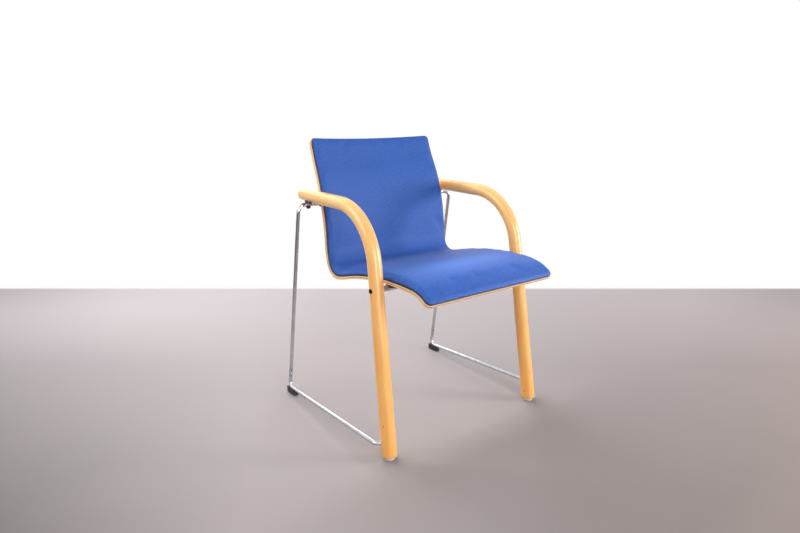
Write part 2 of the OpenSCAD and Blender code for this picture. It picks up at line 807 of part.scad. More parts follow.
// Clip round the cross wire with a foot on the back of the shell
module back_clip(side) {
    difference() {
        union() {
            translate([side * clip_x, cross_y, cross_h])
                rotate([0, 90, 0])
                    cylinder(h = clip_w, r = wire_r + clip_wall, center = true);
            intersection() {
                translate([side * clip_x - clip_w / 2, clip_seat.y - clip_w, cross_h - wire_r - clip_wall])
                    cube([clip_w, cross_y - clip_seat.y + clip_w, clip_foot_up + wire_r + clip_wall]);
                on_back(side)
                    translate([-2 * clip_w, -2 * clip_w, -clip_depth])
                        cube([4 * clip_w, 4 * clip_w, clip_depth - seat_gap]);
            }
        }
        translate([side * clip_x, cross_y, cross_h])
            rotate([0, 90, 0])
                cylinder(h = 2 * clip_w, r = wire_r + hole_gap, center = true);
        on_back(side) {
            translate([0, 0, -2 * clip_depth])
                cylinder(h = 4 * clip_depth, r = back_screw_d / 2 + hole_gap);
            translate([0, 0, -3 * clip_depth])
                cylinder(h = 3 * clip_depth - clip_screw_grip, r = back_screw_head_d / 2 + screw_head_gap);
        }
    }
}

module back_clip_left() {
    color(black)
        back_clip(-1);
}

module back_clip_right() {
    color(black)
        back_clip(1);
}

// Screws through the clips into the tee nuts of the back
module back_screws() {
    color(zinc)
        for (side = [-1, 1]) {
            on_back(side)
                translate([0, 0, -clip_screw_grip - back_screw_head_h])
                    difference() {
                        union() {
                            cylinder(h = back_screw_head_h, r = back_screw_head_d / 2);
                            cylinder(h = back_screw_head_h + clip_screw_grip + ply_t - screw_short,
                                r = back_screw_d / 2);
                        }
                        translate([0, 0, -cut])
                            cylinder(h = cut + key_deep, d = small_key_d, $fn = 6);
                    }
        }
}

// Spacer between the underside of the armrest and the cross wire
module arm_spacer() {
    difference() {
        translate([arm_bolt.x, arm_bolt.y, cross_h + spacer_lap])
            cylinder(h = arm_axis_h - cross_h - spacer_lap, r = spacer_d / 2);
        run(arm_at(cross_y - spacer_d), arm_at(cross_y + spacer_d),
            arm_r(cross_y - spacer_d) + seat_gap, arm_r(cross_y + spacer_d) + seat_gap);
        translate([arm_bolt.x, arm_bolt.y, cross_h])
            rotate([0, 90, 0])
                cylinder(h = 2 * spacer_d, r = wire_r + seat_gap, center = true);
        translate([arm_bolt.x, arm_bolt.y, cross_h])
            cylinder(h = arm_bend_d, r = arm_bolt_d / 2 + hole_gap);
    }
}

module arm_spacers() {
    color(zinc) {
        arm_spacer();
        mirror([1, 0, 0])
            arm_spacer();
    }
}

// Bolts down through the armrest, the spacer and the cross wire
module arm_bolts() {
    color(zinc)
        for (side = [-1, 1]) {
            translate([side * arm_bolt.x, arm_bolt.y, arm_bolt_bottom])
                difference() {
                    union() {
                        cylinder(h = arm_head_floor - arm_bolt_bottom + cut, r = arm_bolt_d / 2);
                        translate([0, 0, arm_head_floor - arm_bolt_bottom])
                            cylinder(h = arm_head_h, r = arm_head_d / 2);
                    }
                    translate([0, 0, arm_head_floor - arm_bolt_bottom + arm_head_h - key_deep])
                        cylinder(h = key_deep + cut, d = key_d, $fn = 6);
                }
        }
}

module arm_nuts() {
    color(zinc)
        for (side = [-1, 1]) {
            translate([side * arm_bolt.x, arm_bolt.y, cross_h - wire_r - seat_gap - arm_nut_h])
                difference() {
                    cylinder(h = arm_nut_h, d = arm_nut_af / cos(30), $fn = 6);
                    translate([0, 0, -cut])
                        cylinder(h = arm_nut_h + 2 * cut, r = arm_bolt_d / 2 + hole_gap);
                }
        }
}

// Round cap with a domed bottom
module bumper_body() {
    r = bumper_d / 2;
    ball_r = (r * r + bumper_dome * bumper_dome) / (2 * bumper_dome);
    intersection() {
        cylinder(h = bumper_h, r = r);
        translate([0, 0, ball_r])
            sphere(r = ball_r);
    }
}

// Black caps over the nuts, on which the next chair of a stack rests
module stacking_bumpers() {
    color(black)
        for (side = [-1, 1]) {
            difference() {
                translate([side * arm_bolt.x, arm_bolt.y, cross_h - bumper_lap - bumper_h])
                    bumper_body();
                translate([side * arm_bolt.x, arm_bolt.y, cross_h])
                    rotate([0, 90, 0])
                        cylinder(h = 2 * bumper_d, r = wire_r + seat_gap, center = true);
                translate([side * arm_bolt.x, arm_bolt.y, arm_bolt_bottom - bumper_room])
                    cylinder(h = bumper_d, d = arm_nut_af / cos(30) + 2 * hole_gap, $fn = 6);
            }
        }
}

// Wooden plugs over the bolt heads
module arm_plugs() {
    color(beech)
        for (side = [-1, 1]) {
            translate([side * arm_bolt.x, arm_bolt.y, plug_floor])
                cylinder(h = plug_t, r = plug_d / 2);
        }
}

// Clip-on pad under the rear corner of the wire
pad_wire = [kink, foot_corner, top_corner];
module rear_pad() {
    difference() {
        translate([foot_corner.x - pad_w / 2, pad_rear - pad_l, 0])
            cube([pad_w, pad_l, pad_h]);
        bent_rod(pad_wire, [0, wire_bend_r, 0], wire_r + seat_gap);
        // Chamfers along the bottom
        for (side = [-1, 1]) {
            translate([foot_corner.x + side * pad_w / 2, pad_rear - pad_l / 2, 0])
                rotate([0, 45, 0])
                    cube([pad_edge_cut, pad_l + 2 * cut, pad_edge_cut], center = true);
        }
    }
}

module rear_pad_left() {
    color(black)
        mirror([1, 0, 0])
            rear_pad();
}

module rear_pad_right() {
    color(black)
        rear_pad();
}

// Plastic discs under the legs
module front_glides() {
    color(white)
        for (side = [-1, 1]) {
            translate([side * leg_foot.x, leg_foot.y, 0])
                difference() {
                    union() {
                        cylinder(h = glide_edge, r1 = glide_d / 2 - glide_edge, r2 = glide_d / 2);
                        translate([0, 0, glide_edge])
                            cylinder(h = glide_h - seat_gap - glide_edge, r = glide_d / 2);
                    }
                    translate([0, 0, glide_plate_t])
                        cylinder(h = glide_h, r = nail_d / 2 + hole_gap);
                    translate([0, 0, glide_plate_t])
                        cylinder(h = nail_head_t + hole_gap, r = nail_head_d / 2 + hole_gap);
                }
        }
}

module glide_nails() {
    color(zinc)
        for (side = [-1, 1]) {
            translate([side * leg_foot.x, leg_foot.y, glide_plate_t + hole_gap / 2]) {
                cylinder(h = nail_head_t, r = nail_head_d / 2);
                cylinder(h = glide_h + nail_l - glide_plate_t, r = nail_d / 2);
            }
        }
}

translate(shift) arm_leg_left();
translate(shift) arm_leg_right();
translate(shift) wire_frame();
translate(shift) crossbar();
translate(shift) crossbar_inserts();
translate(shift) crossbar_bolts();
translate(shift) saddle_left();
translate(shift) saddle_right();
translate(shift) seat_screws();
translate(shift) seat_tee_nuts();
translate(shift) seat_shell();
translate(shift) upholstery_board();
translate(shift) foam_pad();
translate(shift) fabric_cover();
translate(shift) back_clip_left();
translate(shift) back_clip_right();
translate(shift) back_screws();
translate(shift) back_tee_nuts();
translate(shift) arm_spacers();
translate(shift) arm_bolts();
translate(shift) arm_nuts();
translate(shift) stacking_bumpers();
translate(shift) arm_plugs();
translate(shift) rear_pad_left();
translate(shift) rear_pad_right();
translate(shift) front_glides();
translate(shift) glide_nails();
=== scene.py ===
"""Stacking visitor chair: moulded plywood shell with blue upholstery, bent beech arm legs, chromed wire.

The solids come from the frame; this script replaces the large ones by finer pieces in the same places
and gives every piece its material. Lengths are in millimetres until they go into a mesh. Like the part's
source, the shapes are worked out from the front glides: y = 0 is the middle of the glides.
"""
import json
import math

import bmesh
import bpy
from mathutils import Matrix, Vector
from mathutils.kdtree import KDTree


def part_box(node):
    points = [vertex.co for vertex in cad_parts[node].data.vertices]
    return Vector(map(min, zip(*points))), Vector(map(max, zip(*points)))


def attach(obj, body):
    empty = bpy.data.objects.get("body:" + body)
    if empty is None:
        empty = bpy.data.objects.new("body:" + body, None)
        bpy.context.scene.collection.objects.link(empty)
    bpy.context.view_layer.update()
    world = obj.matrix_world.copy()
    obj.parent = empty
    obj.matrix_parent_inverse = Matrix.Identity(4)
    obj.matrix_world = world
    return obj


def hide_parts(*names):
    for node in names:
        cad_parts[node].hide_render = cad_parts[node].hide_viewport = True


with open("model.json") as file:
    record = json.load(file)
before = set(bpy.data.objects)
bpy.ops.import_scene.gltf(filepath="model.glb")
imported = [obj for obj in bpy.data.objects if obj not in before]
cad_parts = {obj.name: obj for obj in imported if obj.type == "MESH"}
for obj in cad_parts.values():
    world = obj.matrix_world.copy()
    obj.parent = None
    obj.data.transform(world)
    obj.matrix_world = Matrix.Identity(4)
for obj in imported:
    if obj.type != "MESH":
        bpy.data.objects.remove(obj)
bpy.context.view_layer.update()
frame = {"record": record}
MM = 0.001

glide_lo, glide_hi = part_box("front_glides")
GLIDE_Y = (glide_lo[1] + glide_hi[1]) / 2


def place(p):
    """Millimetres from the front glides to metres in the frame."""
    return Vector((p[0] * MM, p[1] * MM + GLIDE_Y, p[2] * MM))


def unplace(v):
    """Metres in the frame to millimetres from the front glides."""
    return Vector((v[0] / MM, (v[1] - GLIDE_Y) / MM, v[2] / MM))


def ease(t):
    """A smooth step from 0 to 1."""
    return 0.5 - 0.5 * math.cos(math.pi * max(0.0, min(1.0, t)))


# Mesh helpers
def set_vectors(mesh, key, values):
    layer = mesh.attributes.get(key) or mesh.attributes.new(key, "FLOAT_VECTOR", "POINT")
    layer.data.foreach_set("vector", [c for v in values for c in v])


def shade(mesh, smooth=True):
    mesh.polygons.foreach_set("use_smooth", [smooth] * len(mesh.polygons))


def dress(obj, material):
    obj.data.materials.clear()
    obj.data.materials.append(material)


def new_object(name, verts, faces, attributes=None):
    """A smooth mesh object. The attributes are lists of one vector for each point."""
    mesh = bpy.data.meshes.new(name)
    mesh.from_pydata([tuple(v) for v in verts], [], faces)
    mesh.validate()
    for key, values in (attributes or {}).items():
        set_vectors(mesh, key, values)
    shade(mesh)
    mesh.update()
    obj = bpy.data.objects.new(name, mesh)
    bpy.context.scene.collection.objects.link(obj)
    return obj


def outward(obj):
    """Turns the faces of a closed mesh outwards."""
    bm = bmesh.new()
    bm.from_mesh(obj.data)
    bmesh.ops.recalc_face_normals(bm, faces=bm.faces)
    bm.to_mesh(obj.data)
    bm.free()


def bake_modifiers(obj):
    """Puts the result of the object's modifiers into its mesh."""
    bpy.context.view_layer.update()
    done = bpy.data.meshes.new_from_object(obj.evaluated_get(bpy.context.evaluated_depsgraph_get()))
    old = obj.data
    obj.modifiers.clear()
    obj.data = done
    bpy.data.meshes.remove(old)


DRILL_SIDES, SHARP_ANGLE = 40, 38


def drill(obj, holes):
    """Cuts round holes. Each is its start, its end and its radius, in millimetres from the glides."""
    for start, end, radius in holes:
        a, b = place(start), place(end)
        bm = bmesh.new()
        turn = (b - a).to_track_quat("Z", "Y").to_matrix().to_4x4()
        bmesh.ops.create_cone(
            bm, cap_ends=True, segments=DRILL_SIDES, radius1=radius * MM, radius2=radius * MM,
            depth=(b - a).length, matrix=Matrix.Translation((a + b) / 2) @ turn)
        mesh = bpy.data.meshes.new("drill")
        bm.to_mesh(mesh)
        bm.free()
        tool = bpy.data.objects.new("drill", mesh)
        bpy.context.scene.collection.objects.link(tool)
        cut = obj.modifiers.new("hole", "BOOLEAN")
        cut.operation = "DIFFERENCE"
        cut.solver = "EXACT"
        cut.object = tool
        bake_modifiers(obj)
        bpy.data.objects.remove(tool)
        bpy.data.meshes.remove(mesh)
    shade(obj.data)
    obj.data.set_sharp_from_angle(angle=math.radians(SHARP_ANGLE))


def finish_piece(obj, nodes, material):
    """Puts a piece in the place of the nodes' solids and its material."""
    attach(obj, "root")
    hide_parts(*nodes)
    dress(obj, material)


# Rods
# Rings round the edge of a foot and over a domed end
FOOT_RINGS, DOME_RINGS = 5, 9
# A rod whose start leans less than this, as a sine, takes its first side from another axis
UPRIGHT = 0.2


def rod_path(points, radii, step, turn_step):
    """Points along straight runs joined by arcs, with the length up to each. A step is in millimetres on a
    straight run, and in degrees on an arc."""
    pts = [Vector(p) for p in points]
    out = [pts[0].copy()]

    def straight_to(end):
        base, run = out[-1].copy(), end - out[-1]
        n = max(1, round(run.length / step))
        out.extend(base + run * k / n for k in range(1, n + 1))

    for i in range(1, len(pts) - 1):
        a, b = (pts[i] - pts[i - 1]).normalized(), (pts[i + 1] - pts[i]).normalized()
        turn = a.angle(b)
        start = pts[i] - a * radii[i] * math.tan(turn / 2)
        inward = (b - a * a.dot(b)).normalized()
        centre = start + inward * radii[i]
        straight_to(start)
        m = max(2, math.ceil(math.degrees(turn) / turn_step))
        for k in range(1, m + 1):
            t = turn * k / m
            out.append(centre + (a * math.sin(t) - inward * math.cos(t)) * radii[i])
    straight_to(pts[-1])
    lengths = [0.0]
    for p, q in zip(out, out[1:]):
        lengths.append(lengths[-1] + (q - p).length)
    return out, lengths


class Rod:
    """A bent round rod: its centre line, and a frame that doesn't twist along it."""

    def __init__(self, path, lengths):
        self.path, self.lengths = path, lengths
        n = len(path)
        self.along = [(path[min(i + 1, n - 1)] - path[max(i - 1, 0)]).normalized() for i in range(n)]
        side = self.along[0].cross(Vector((0, 0, 1)))
        if side.length < UPRIGHT:
            side = self.along[0].cross(Vector((1, 0, 0)))
        self.side = []
        for t in self.along:
            side = (side - t * side.dot(t)).normalized()
            self.side.append(side)
        self.tree = KDTree(n)
        for i, p in enumerate(path):
            self.tree.insert(p, i)
        self.tree.balance()

    def straightened(self, p):
        """A point's place in the straight, unbent rod, in metres."""
        _, i, _ = self.tree.find(p)
        t, side = self.along[i], self.side[i]
        d = p - self.path[i]
        return ((self.lengths[i] + d.dot(t)) * MM, d.dot(side) * MM, d.dot(t.cross(side)) * MM)

    def mark(self, obj):
        """Gives each point of a mesh its place in the straight rod, for the grain."""
        set_vectors(obj.data, "rod", [self.straightened(unplace(v.co)) for v in obj.data.vertices])

    def sweep(self, name, radius, sides, foot_z=None, foot_round=0.0, domed=False):
        """A closed body; its radius is a function of the length. A foot is cut level at foot_z with its edge
        rounded; the far end may be domed."""
        verts, faces, rings = [], [], []

        def ring(centre, t, s, r):
            up = t.cross(s)
            rings.append(len(verts))
            for k in range(sides):
                w = 2 * math.pi * k / sides
                verts.append(centre + (s * math.cos(w) + up * math.sin(w)) * r)

        def level(shift):
            """Slides the last ring's points along the rod to one height over the cut."""
            t = self.along[0]
            for v in range(rings[-1], rings[-1] + sides):
                verts[v] = verts[v] + t * ((foot_z + shift - verts[v].z) / t.z)

        start = 0
        if foot_z is not None:
            for k in range(FOOT_RINGS):
                w = math.pi / 2 * k / FOOT_RINGS
                ring(self.path[0], self.along[0], self.side[0], radius(0) - foot_round * (1 - math.sin(w)))
                level(foot_round * (1 - math.cos(w)))
            start = 1
        for i in range(start, len(self.path)):
            ring(self.path[i], self.along[i], self.side[i], radius(self.lengths[i]))
        tip = self.path[-1]
        if domed:
            r, t = radius(self.lengths[-1]), self.along[-1]
            for k in range(1, DOME_RINGS):
                w = math.pi / 2 * k / DOME_RINGS
                ring(self.path[-1] + t * r * math.sin(w), t, self.side[-1], r * math.cos(w))
            tip = tip + t * r
        for a, b in zip(rings, rings[1:]):
            for k in range(sides):
                j = (k + 1) % sides
                faces.append((a + k, a + j, b + j, b + k))
        faces.append(tuple(rings[0] + k for k in reversed(range(sides))))
        verts.append(tip)
        for k in range(sides):
            faces.append((rings[-1] + k, rings[-1] + (k + 1) % sides, len(verts) - 1))
        obj = new_object(name, [place(v) for v in verts], faces)
        outward(obj)
        return obj


# Shell and pad surfaces
# Arcs of the profile along the edge, from the top: length and turn towards the front, in degrees
ARCS = [(87, 11), (228, -24.5), (54, 19), (73, 80), (44, 5), (291, -20), (62, -38.5)]
SHELL_LEN = float(sum(length for length, _degrees in ARCS))
# The top of the back: its direction in degrees, its height and its place
TOP_HEADING, TOP_H, TOP_Y = 15.0, 789.969, 452.96
# Depth of the back's hollow, the length at which it begins to fade and that at which it is gone
BACK_HOLLOW, HOLLOW_FULL, HOLLOW_NONE = 22.0, 150.0, 545.0
# Width at the top and on the seat, and the length over which it changes
TOP_W, SEAT_W, WIDEN = 441.0, 451.0, 200.0
# Radii of the outline's corners, and how far past them the points stay dense
TOP_R, NOSE_R, PAST_CORNER = 15.0, 16.0, 2
# Thickness of the plywood, and the width of its rim beside the upholstery
PLY, BORDER = 8.0, 1.5
# Height of the upholstery on the back, the seat and the nose, and the seat's crown
BACK_PAD, SEAT_PAD, NOSE_PAD, CROWN = 12.0, 17.0, 11.0, 3.0
# Height of its wall, and the width of its rounded edge
PAD_WALL, PAD_EDGE = 5.2, 15.0
# Lengths between which the back's height changes to the seat's, and the stretch that changes to the nose's
SEAT_FROM, SEAT_TO, NOSE_BLEND = 330.0, 500.0, 110.0
# The fabric stands off the foam in the bend between back and seat: height, width and middle
BRIDGE, BRIDGE_W, BEND_MID = 9.0, 52.0, 410.0
# Under the foam: the glue, the board and the gap over it
GLUE, BOARD_T, SOFT_GAP = 0.3, 2.5, 0.25


def arc_point(p, h, length, a):
    """The end of an arc that leaves a point in the direction h and turns by the angle a."""
    r = length / a
    return (p[0] - r * (math.cos(h) - math.cos(h + a)), p[1] - r * (math.sin(h + a) - math.sin(h)))


def arc_starts():
    """Length, point and direction at the start of each arc, with its own length and turn."""
    out, p, h, s = [], (TOP_Y, TOP_H), math.radians(TOP_HEADING), 0.0
    for length, degrees in ARCS:
        a = math.radians(degrees)
        out.append((s, p, h, length, a))
        p, h, s = arc_point(p, h, length, a), h + a, s + length
    return out


STARTS = arc_starts()


def edge_at(s):
    """Point (y, z) and heading of the shell's outer face along its edge."""
    s0, p, h, length, a = next((e for e in STARTS if s <= e[0] + e[3]), STARTS[-1])
    turn = a * (s - s0) / length
    return (arc_point(p, h, s - s0, turn) if abs(turn) > 1e-7 else p), h + turn


def hollow(s):
    """Depth of the hollow across the shell, in its middle."""
    return BACK_HOLLOW * (1 - ease((s - HOLLOW_FULL) / (HOLLOW_NONE - HOLLOW_FULL)))


def side_w(s):
    """Half the shell's width."""
    return TOP_W / 2 + (SEAT_W - TOP_W) / 2 * ease(s / WIDEN)


def corner_cut(d, r):
    """What a corner of radius r takes off the half width, at a distance d from its end."""
    return 0.0 if d >= r else r - math.sqrt(max(0.0, r * r - (r - d) ** 2))


def shell_point(s, x, n):
    """Point at a length along the profile, a place across it and a height over the outer face."""
    (y, z), h = edge_at(s)
    w, k0 = side_w(s), hollow(s)
    k = k0 * (1 - (x / w) ** 2)
    normal = Vector((-2 * k0 * x / (w * w), -math.cos(h), math.sin(h))).normalized()
    return Vector((x, y + math.cos(h) * k, z - math.sin(h) * k)) + normal * n


def outline_half(s, inset):
    """Half the width of the outline set in by inset, with its round corners."""
    r0, r1 = max(1.0, TOP_R - inset), max(1.0, NOSE_R - inset)
    return side_w(s) - inset - corner_cut(s - inset, r0) - corner_cut(SHELL_LEN - inset - s, r1)


def dense(fine):
    """Shares of a stretch, closest together at its start."""
    return [1 - math.cos(math.pi / 2 * i / fine) for i in range(fine)]


def stations(inset, fine, n):
    """Lengths along the shell: dense at both ends, then even."""
    lo, hi = inset, SHELL_LEN - inset
    r0, r1 = TOP_R - inset + PAST_CORNER, NOSE_R - inset + PAST_CORNER
    top = [lo + r0 * d for d in dense(fine)]
    nose = [hi - r1 * d for d in dense(fine)]
    mid = [lo + r0 + (hi - lo - r0 - r1) * i / n for i in range(n + 1)]
    return top + mid + nose[::-1]


def columns(w, edge, fine, count):
    """Places across the width: dense at both sides, then even."""
    side = [edge * d for d in dense(fine)]
    inner = w - edge
    mid = [inner * (2 * i / count - 1) for i in range(count + 1)]
    return [-w + d for d in side] + mid + [w - d for d in reversed(side)]


def pad_height(s, x, inset):
    """Height of the upholstery's outer skin over the plywood."""
    w = outline_half(s, inset)
    d_s, d_x = min(s - inset, SHELL_LEN - inset - s), w - abs(x)
    seat = ease((s - SEAT_FROM) / (SEAT_TO - SEAT_FROM))
    full = BACK_PAD + (SEAT_PAD - BACK_PAD) * seat
    full += (NOSE_PAD - SEAT_PAD) * ease((s - SHELL_LEN + NOSE_BLEND) / NOSE_BLEND)

    def rounded(d):
        return 1.0 if d >= PAD_EDGE else math.sqrt(max(0.0, 1 - (1 - d / PAD_EDGE) ** 2))

    full += BRIDGE * math.exp(-((s - BEND_MID) / BRIDGE_W) ** 2)
    crown = CROWN * seat * (1 - (x / w) ** 2)
    return PAD_WALL + (full - PAD_WALL) * rounded(d_s) * rounded(d_x) + crown * rounded(d_s)


def grid_faces(rows, cols, base):
    out = []
    for i in range(rows - 1):
        for j in range(cols - 1):
            a = base + i * cols + j
            out.append((a, a + 1, a + cols + 1, a + cols))
    return out


def rim_loop(rows, cols):
    """The points round a grid's rim, in order."""
    top = list(range(cols))
    right = [i * cols + cols - 1 for i in range(1, rows)]
    bottom = [(rows - 1) * cols + j for j in range(cols - 2, -1, -1)]
    left = [i * cols for i in range(rows - 2, 0, -1)]
    return top + right + bottom + left


def bridge(a, b):
    """Faces between two loops of as many points."""
    n = len(a)
    return [(a[k], b[k], b[(k + 1) % n], a[(k + 1) % n]) for k in range(n)]


class Layer:
    """A sheet on the shell: a front grid, rings round its edge and, if closed, a back grid.

    It lies an inset in from the shell's edge. Along the shell it has even rows, and fine dense ones at each
    end. Across it has a count of even columns, and edge_fine dense ones over the width edge at each side."""

    def __init__(self, inset, fine, rows, edge, edge_fine, count):
        self.inset = inset
        self.rows = stations(inset, fine, rows)
        self.shape = (edge, edge_fine, count)
        self.verts, self.where, self.faces, self.loop = [], [], [], None

    def grid(self, height):
        """A grid over the whole sheet, at a height that depends on the place."""
        base = len(self.verts)
        for s in self.rows:
            for x in columns(outline_half(s, self.inset), *self.shape):
                n = height(s, x)
                self.verts.append(place(shell_point(s, x, n)))
                self.where.append((x * MM, s * MM, n * MM))
        rows = len(self.rows)
        cols = (len(self.verts) - base) // rows
        self.faces += grid_faces(rows, cols, base)
        loop = [base + k for k in rim_loop(rows, cols)]
        if self.loop:
            self.faces += bridge(self.loop, loop)
        self.loop = loop

    def ring(self, height, extra=0.0):
        """A ring at a height, set in further by extra."""
        lo, hi = self.inset + extra, SHELL_LEN - self.inset - extra
        rows = [max(lo, min(hi, s)) for s in self.rows]
        flat = []
        for s in rows:
            w = outline_half(s, self.inset + extra)
            flat += [(s, x) for x in columns(w, *self.shape)]
        base = len(self.verts)
        loop = rim_loop(len(rows), len(flat) // len(rows))
        for k in loop:
            s, x = flat[k]
            self.verts.append(place(shell_point(s, x, height)))
            self.where.append((x * MM, s * MM, height * MM))
        nxt = list(range(base, base + len(loop)))
        self.faces += bridge(self.loop, nxt)
        self.loop = nxt

    def build(self, name, attribute, closed=True):
        obj = new_object(name, self.verts, self.faces, {attribute: self.where})
        if closed:
            outward(obj)
        else:
            obj.data.flip_normals()
        return obj


# Node helpers
class Nodes:
    """Short calls for a node tree. An input is a constant or another node's output."""

    def __init__(self, tree):
        self.tree = tree
        tree.nodes.clear()

    def add(self, kind):
        return self.tree.nodes.new("ShaderNode" + kind)

    def link(self, a, b):
        self.tree.links.new(a, b)

    def put(self, socket, value):
        if isinstance(value, bpy.types.NodeSocket):
            self.link(value, socket)
        elif value is not None:
            if isinstance(value, tuple) and len(value) == 3 and socket.type == "RGBA":
                value = (*value, 1.0)
            socket.default_value = value

    def attribute(self, name):
        node = self.add("Attribute")
        node.attribute_name = name
        return node.outputs["Vector"]

    def position(self):
        return self.add("TexCoord").outputs["Object"]

    def scaled(self, vector, scale):
        node = self.add("Mapping")
        self.put(node.inputs["Vector"], vector)
        node.inputs["Scale"].default_value = scale
        return node.outputs[0]

    def noise(self, vector, scale, detail, rough, distortion=0.0):
        node = self.add("TexNoise")
        self.put(node.inputs["Vector"], vector)
        node.inputs["Scale"].default_value = scale
        node.inputs["Detail"].default_value = detail
        node.inputs["Roughness"].default_value = rough
        node.inputs["Distortion"].default_value = distortion
        return node.outputs[0]

    def grain(self, vector, scales, detail, rough, distortion=0.0):
        """Noise with its own scale along each axis."""
        return self.noise(self.scaled(vector, scales), 1.0, detail, rough, distortion)

    def cells(self, vector, scale=1.0, output="Distance"):
        node = self.add("TexVoronoi")
        self.put(node.inputs["Vector"], vector)
        node.inputs["Scale"].default_value = scale
        return node.outputs[output]

    def math(self, op, a, b=None):
        node = self.add("Math")
        node.operation = op
        self.put(node.inputs[0], a)
        self.put(node.inputs[1], b)
        return node.outputs[0]

    def times(self, a, b):
        return self.math("MULTIPLY", a, b)

    def wave(self, value, pitch):
        """A sine of a length in metres, with its pitch in millimetres."""
        return self.math("SINE", self.times(value, math.tau / (pitch * MM)))

    def off(self, value, middle):
        """Distance from a middle, both in metres."""
        return self.math("ABSOLUTE", self.math("SUBTRACT", value, middle))

    def length(self, vector):
        node = self.add("VectorMath")
        node.operation = "LENGTH"
        self.put(node.inputs[0], vector)
        return node.outputs["Value"]

    def split(self, vector):
        node = self.add("SeparateXYZ")
        self.put(node.inputs[0], vector)
        return node.outputs

    def join(self, x, y, z):
        node = self.add("CombineXYZ")
        for socket, value in zip(node.inputs, (x, y, z)):
            self.put(socket, value)
        return node.outputs[0]

    def ramp(self, factor, stops):
        node = self.add("ValToRGB")
        self.put(node.inputs[0], factor)
        ramp = node.color_ramp
        while len(ramp.elements) < len(stops):
            ramp.elements.new(0.5)
        for element, (pos, colour) in zip(ramp.elements, stops):
            element.position = pos
            element.color = (*colour, 1.0)
        return node.outputs[0]

    def range(self, value, lo, hi, to_lo=0.0, to_hi=1.0):
        node = self.add("MapRange")
        self.put(node.inputs["Value"], value)
        for key, v in (("From Min", lo), ("From Max", hi), ("To Min", to_lo), ("To Max", to_hi)):
            node.inputs[key].default_value = v
        return node.outputs[0]

    def mix(self, factor, a, b):
        node = self.add("Mix")
        node.data_type = "RGBA"
        self.put(node.inputs["Factor"], factor)
        self.put(node.inputs[6], a)
        self.put(node.inputs[7], b)
        return node.outputs[2]

    def bump(self, height, strength, distance):
        """A bump whose distance is in millimetres."""
        node = self.add("Bump")
        node.inputs["Strength"].default_value = strength
        node.inputs["Distance"].default_value = distance * MM
        self.put(node.inputs["Height"], height)
        return node.outputs[0]

    def looked_at(self):
        """1 for what the camera sees, directly, in a gloss or through glass, and 0 for what only lights."""
        rays = self.add("LightPath").outputs
        seen = self.math("MAXIMUM", rays["Is Camera Ray"], rays["Is Glossy Ray"])
        return self.math("MAXIMUM", seen, rays["Is Transmission Ray"])


class Material(Nodes):
    """A material with one main shader."""

    def __init__(self, name):
        self.mat = bpy.data.materials.new(name)
        self.mat.use_nodes = True
        super().__init__(self.mat.node_tree)
        self.out = self.add("OutputMaterial")
        self.bsdf = self.add("BsdfPrincipled")
        self.link(self.bsdf.outputs[0], self.out.inputs[0])

    def set(self, **values):
        for key, value in values.items():
            self.put(self.bsdf.inputs[key.replace("_", " ")], value)


def srgb(r, g, b):
    """A colour given as 0 to 255, as linear values."""
    return tuple((c / 255 / 12.92) if c <= 10 else ((c / 255 + 0.055) / 1.055) ** 2.4 for c in (r, g, b))


# Materials
# Height in metres up to which a leg's colour is warmer
WARM_TO = 0.32
# Nicks in the legs: the middle in millimetres from the glides, the width and the height
NICKS = [((-283.3, 3.9, 93.2), 1.6, 3.2), ((-286.7, 6.2, 51.1), 2.0, 2.6), ((-281.4, 20.4, 187.9), 1.2, 2.4),
         ((-282.8, 14.7, 146.7), 1.2, 2.0), ((259.9, -6.2, 93.5), 1.5, 2.6), ((246.9, 0.1, 33.2), 1.6, 2.6)]
# Layers on the plywood's edge: pitch of the thin ones, where the dark core ends, and what each face takes
LAYER_PITCH, CORE_HALF, FACE_T = 2.3, (0.6, 1.2), 0.6
# Distance from one yarn of the cloth to the next but one
WEAVE_PITCH = 1.6
# Painted highlight: a paler strip along the front of the seat, standing in for the light that falls there:
# its length along the profile, and where it fades along and across
SEAT_HIGHLIGHT_AT, SEAT_HIGHLIGHT_ALONG, SEAT_HIGHLIGHT_ACROSS = 715, (15, 60), (90, 220)
# Painted shade: the fabric is painted dark between these heights over the shell's outer face, where it folds
# under
FOOT_PAINTED_SHADE = (10.4, 16.5)
# Heights in metres between which the rear legs' dark, rougher patches begin and end
DARK_PATCH_BEGIN, DARK_PATCH_END = (0.050, 0.062), (0.085, 0.105)


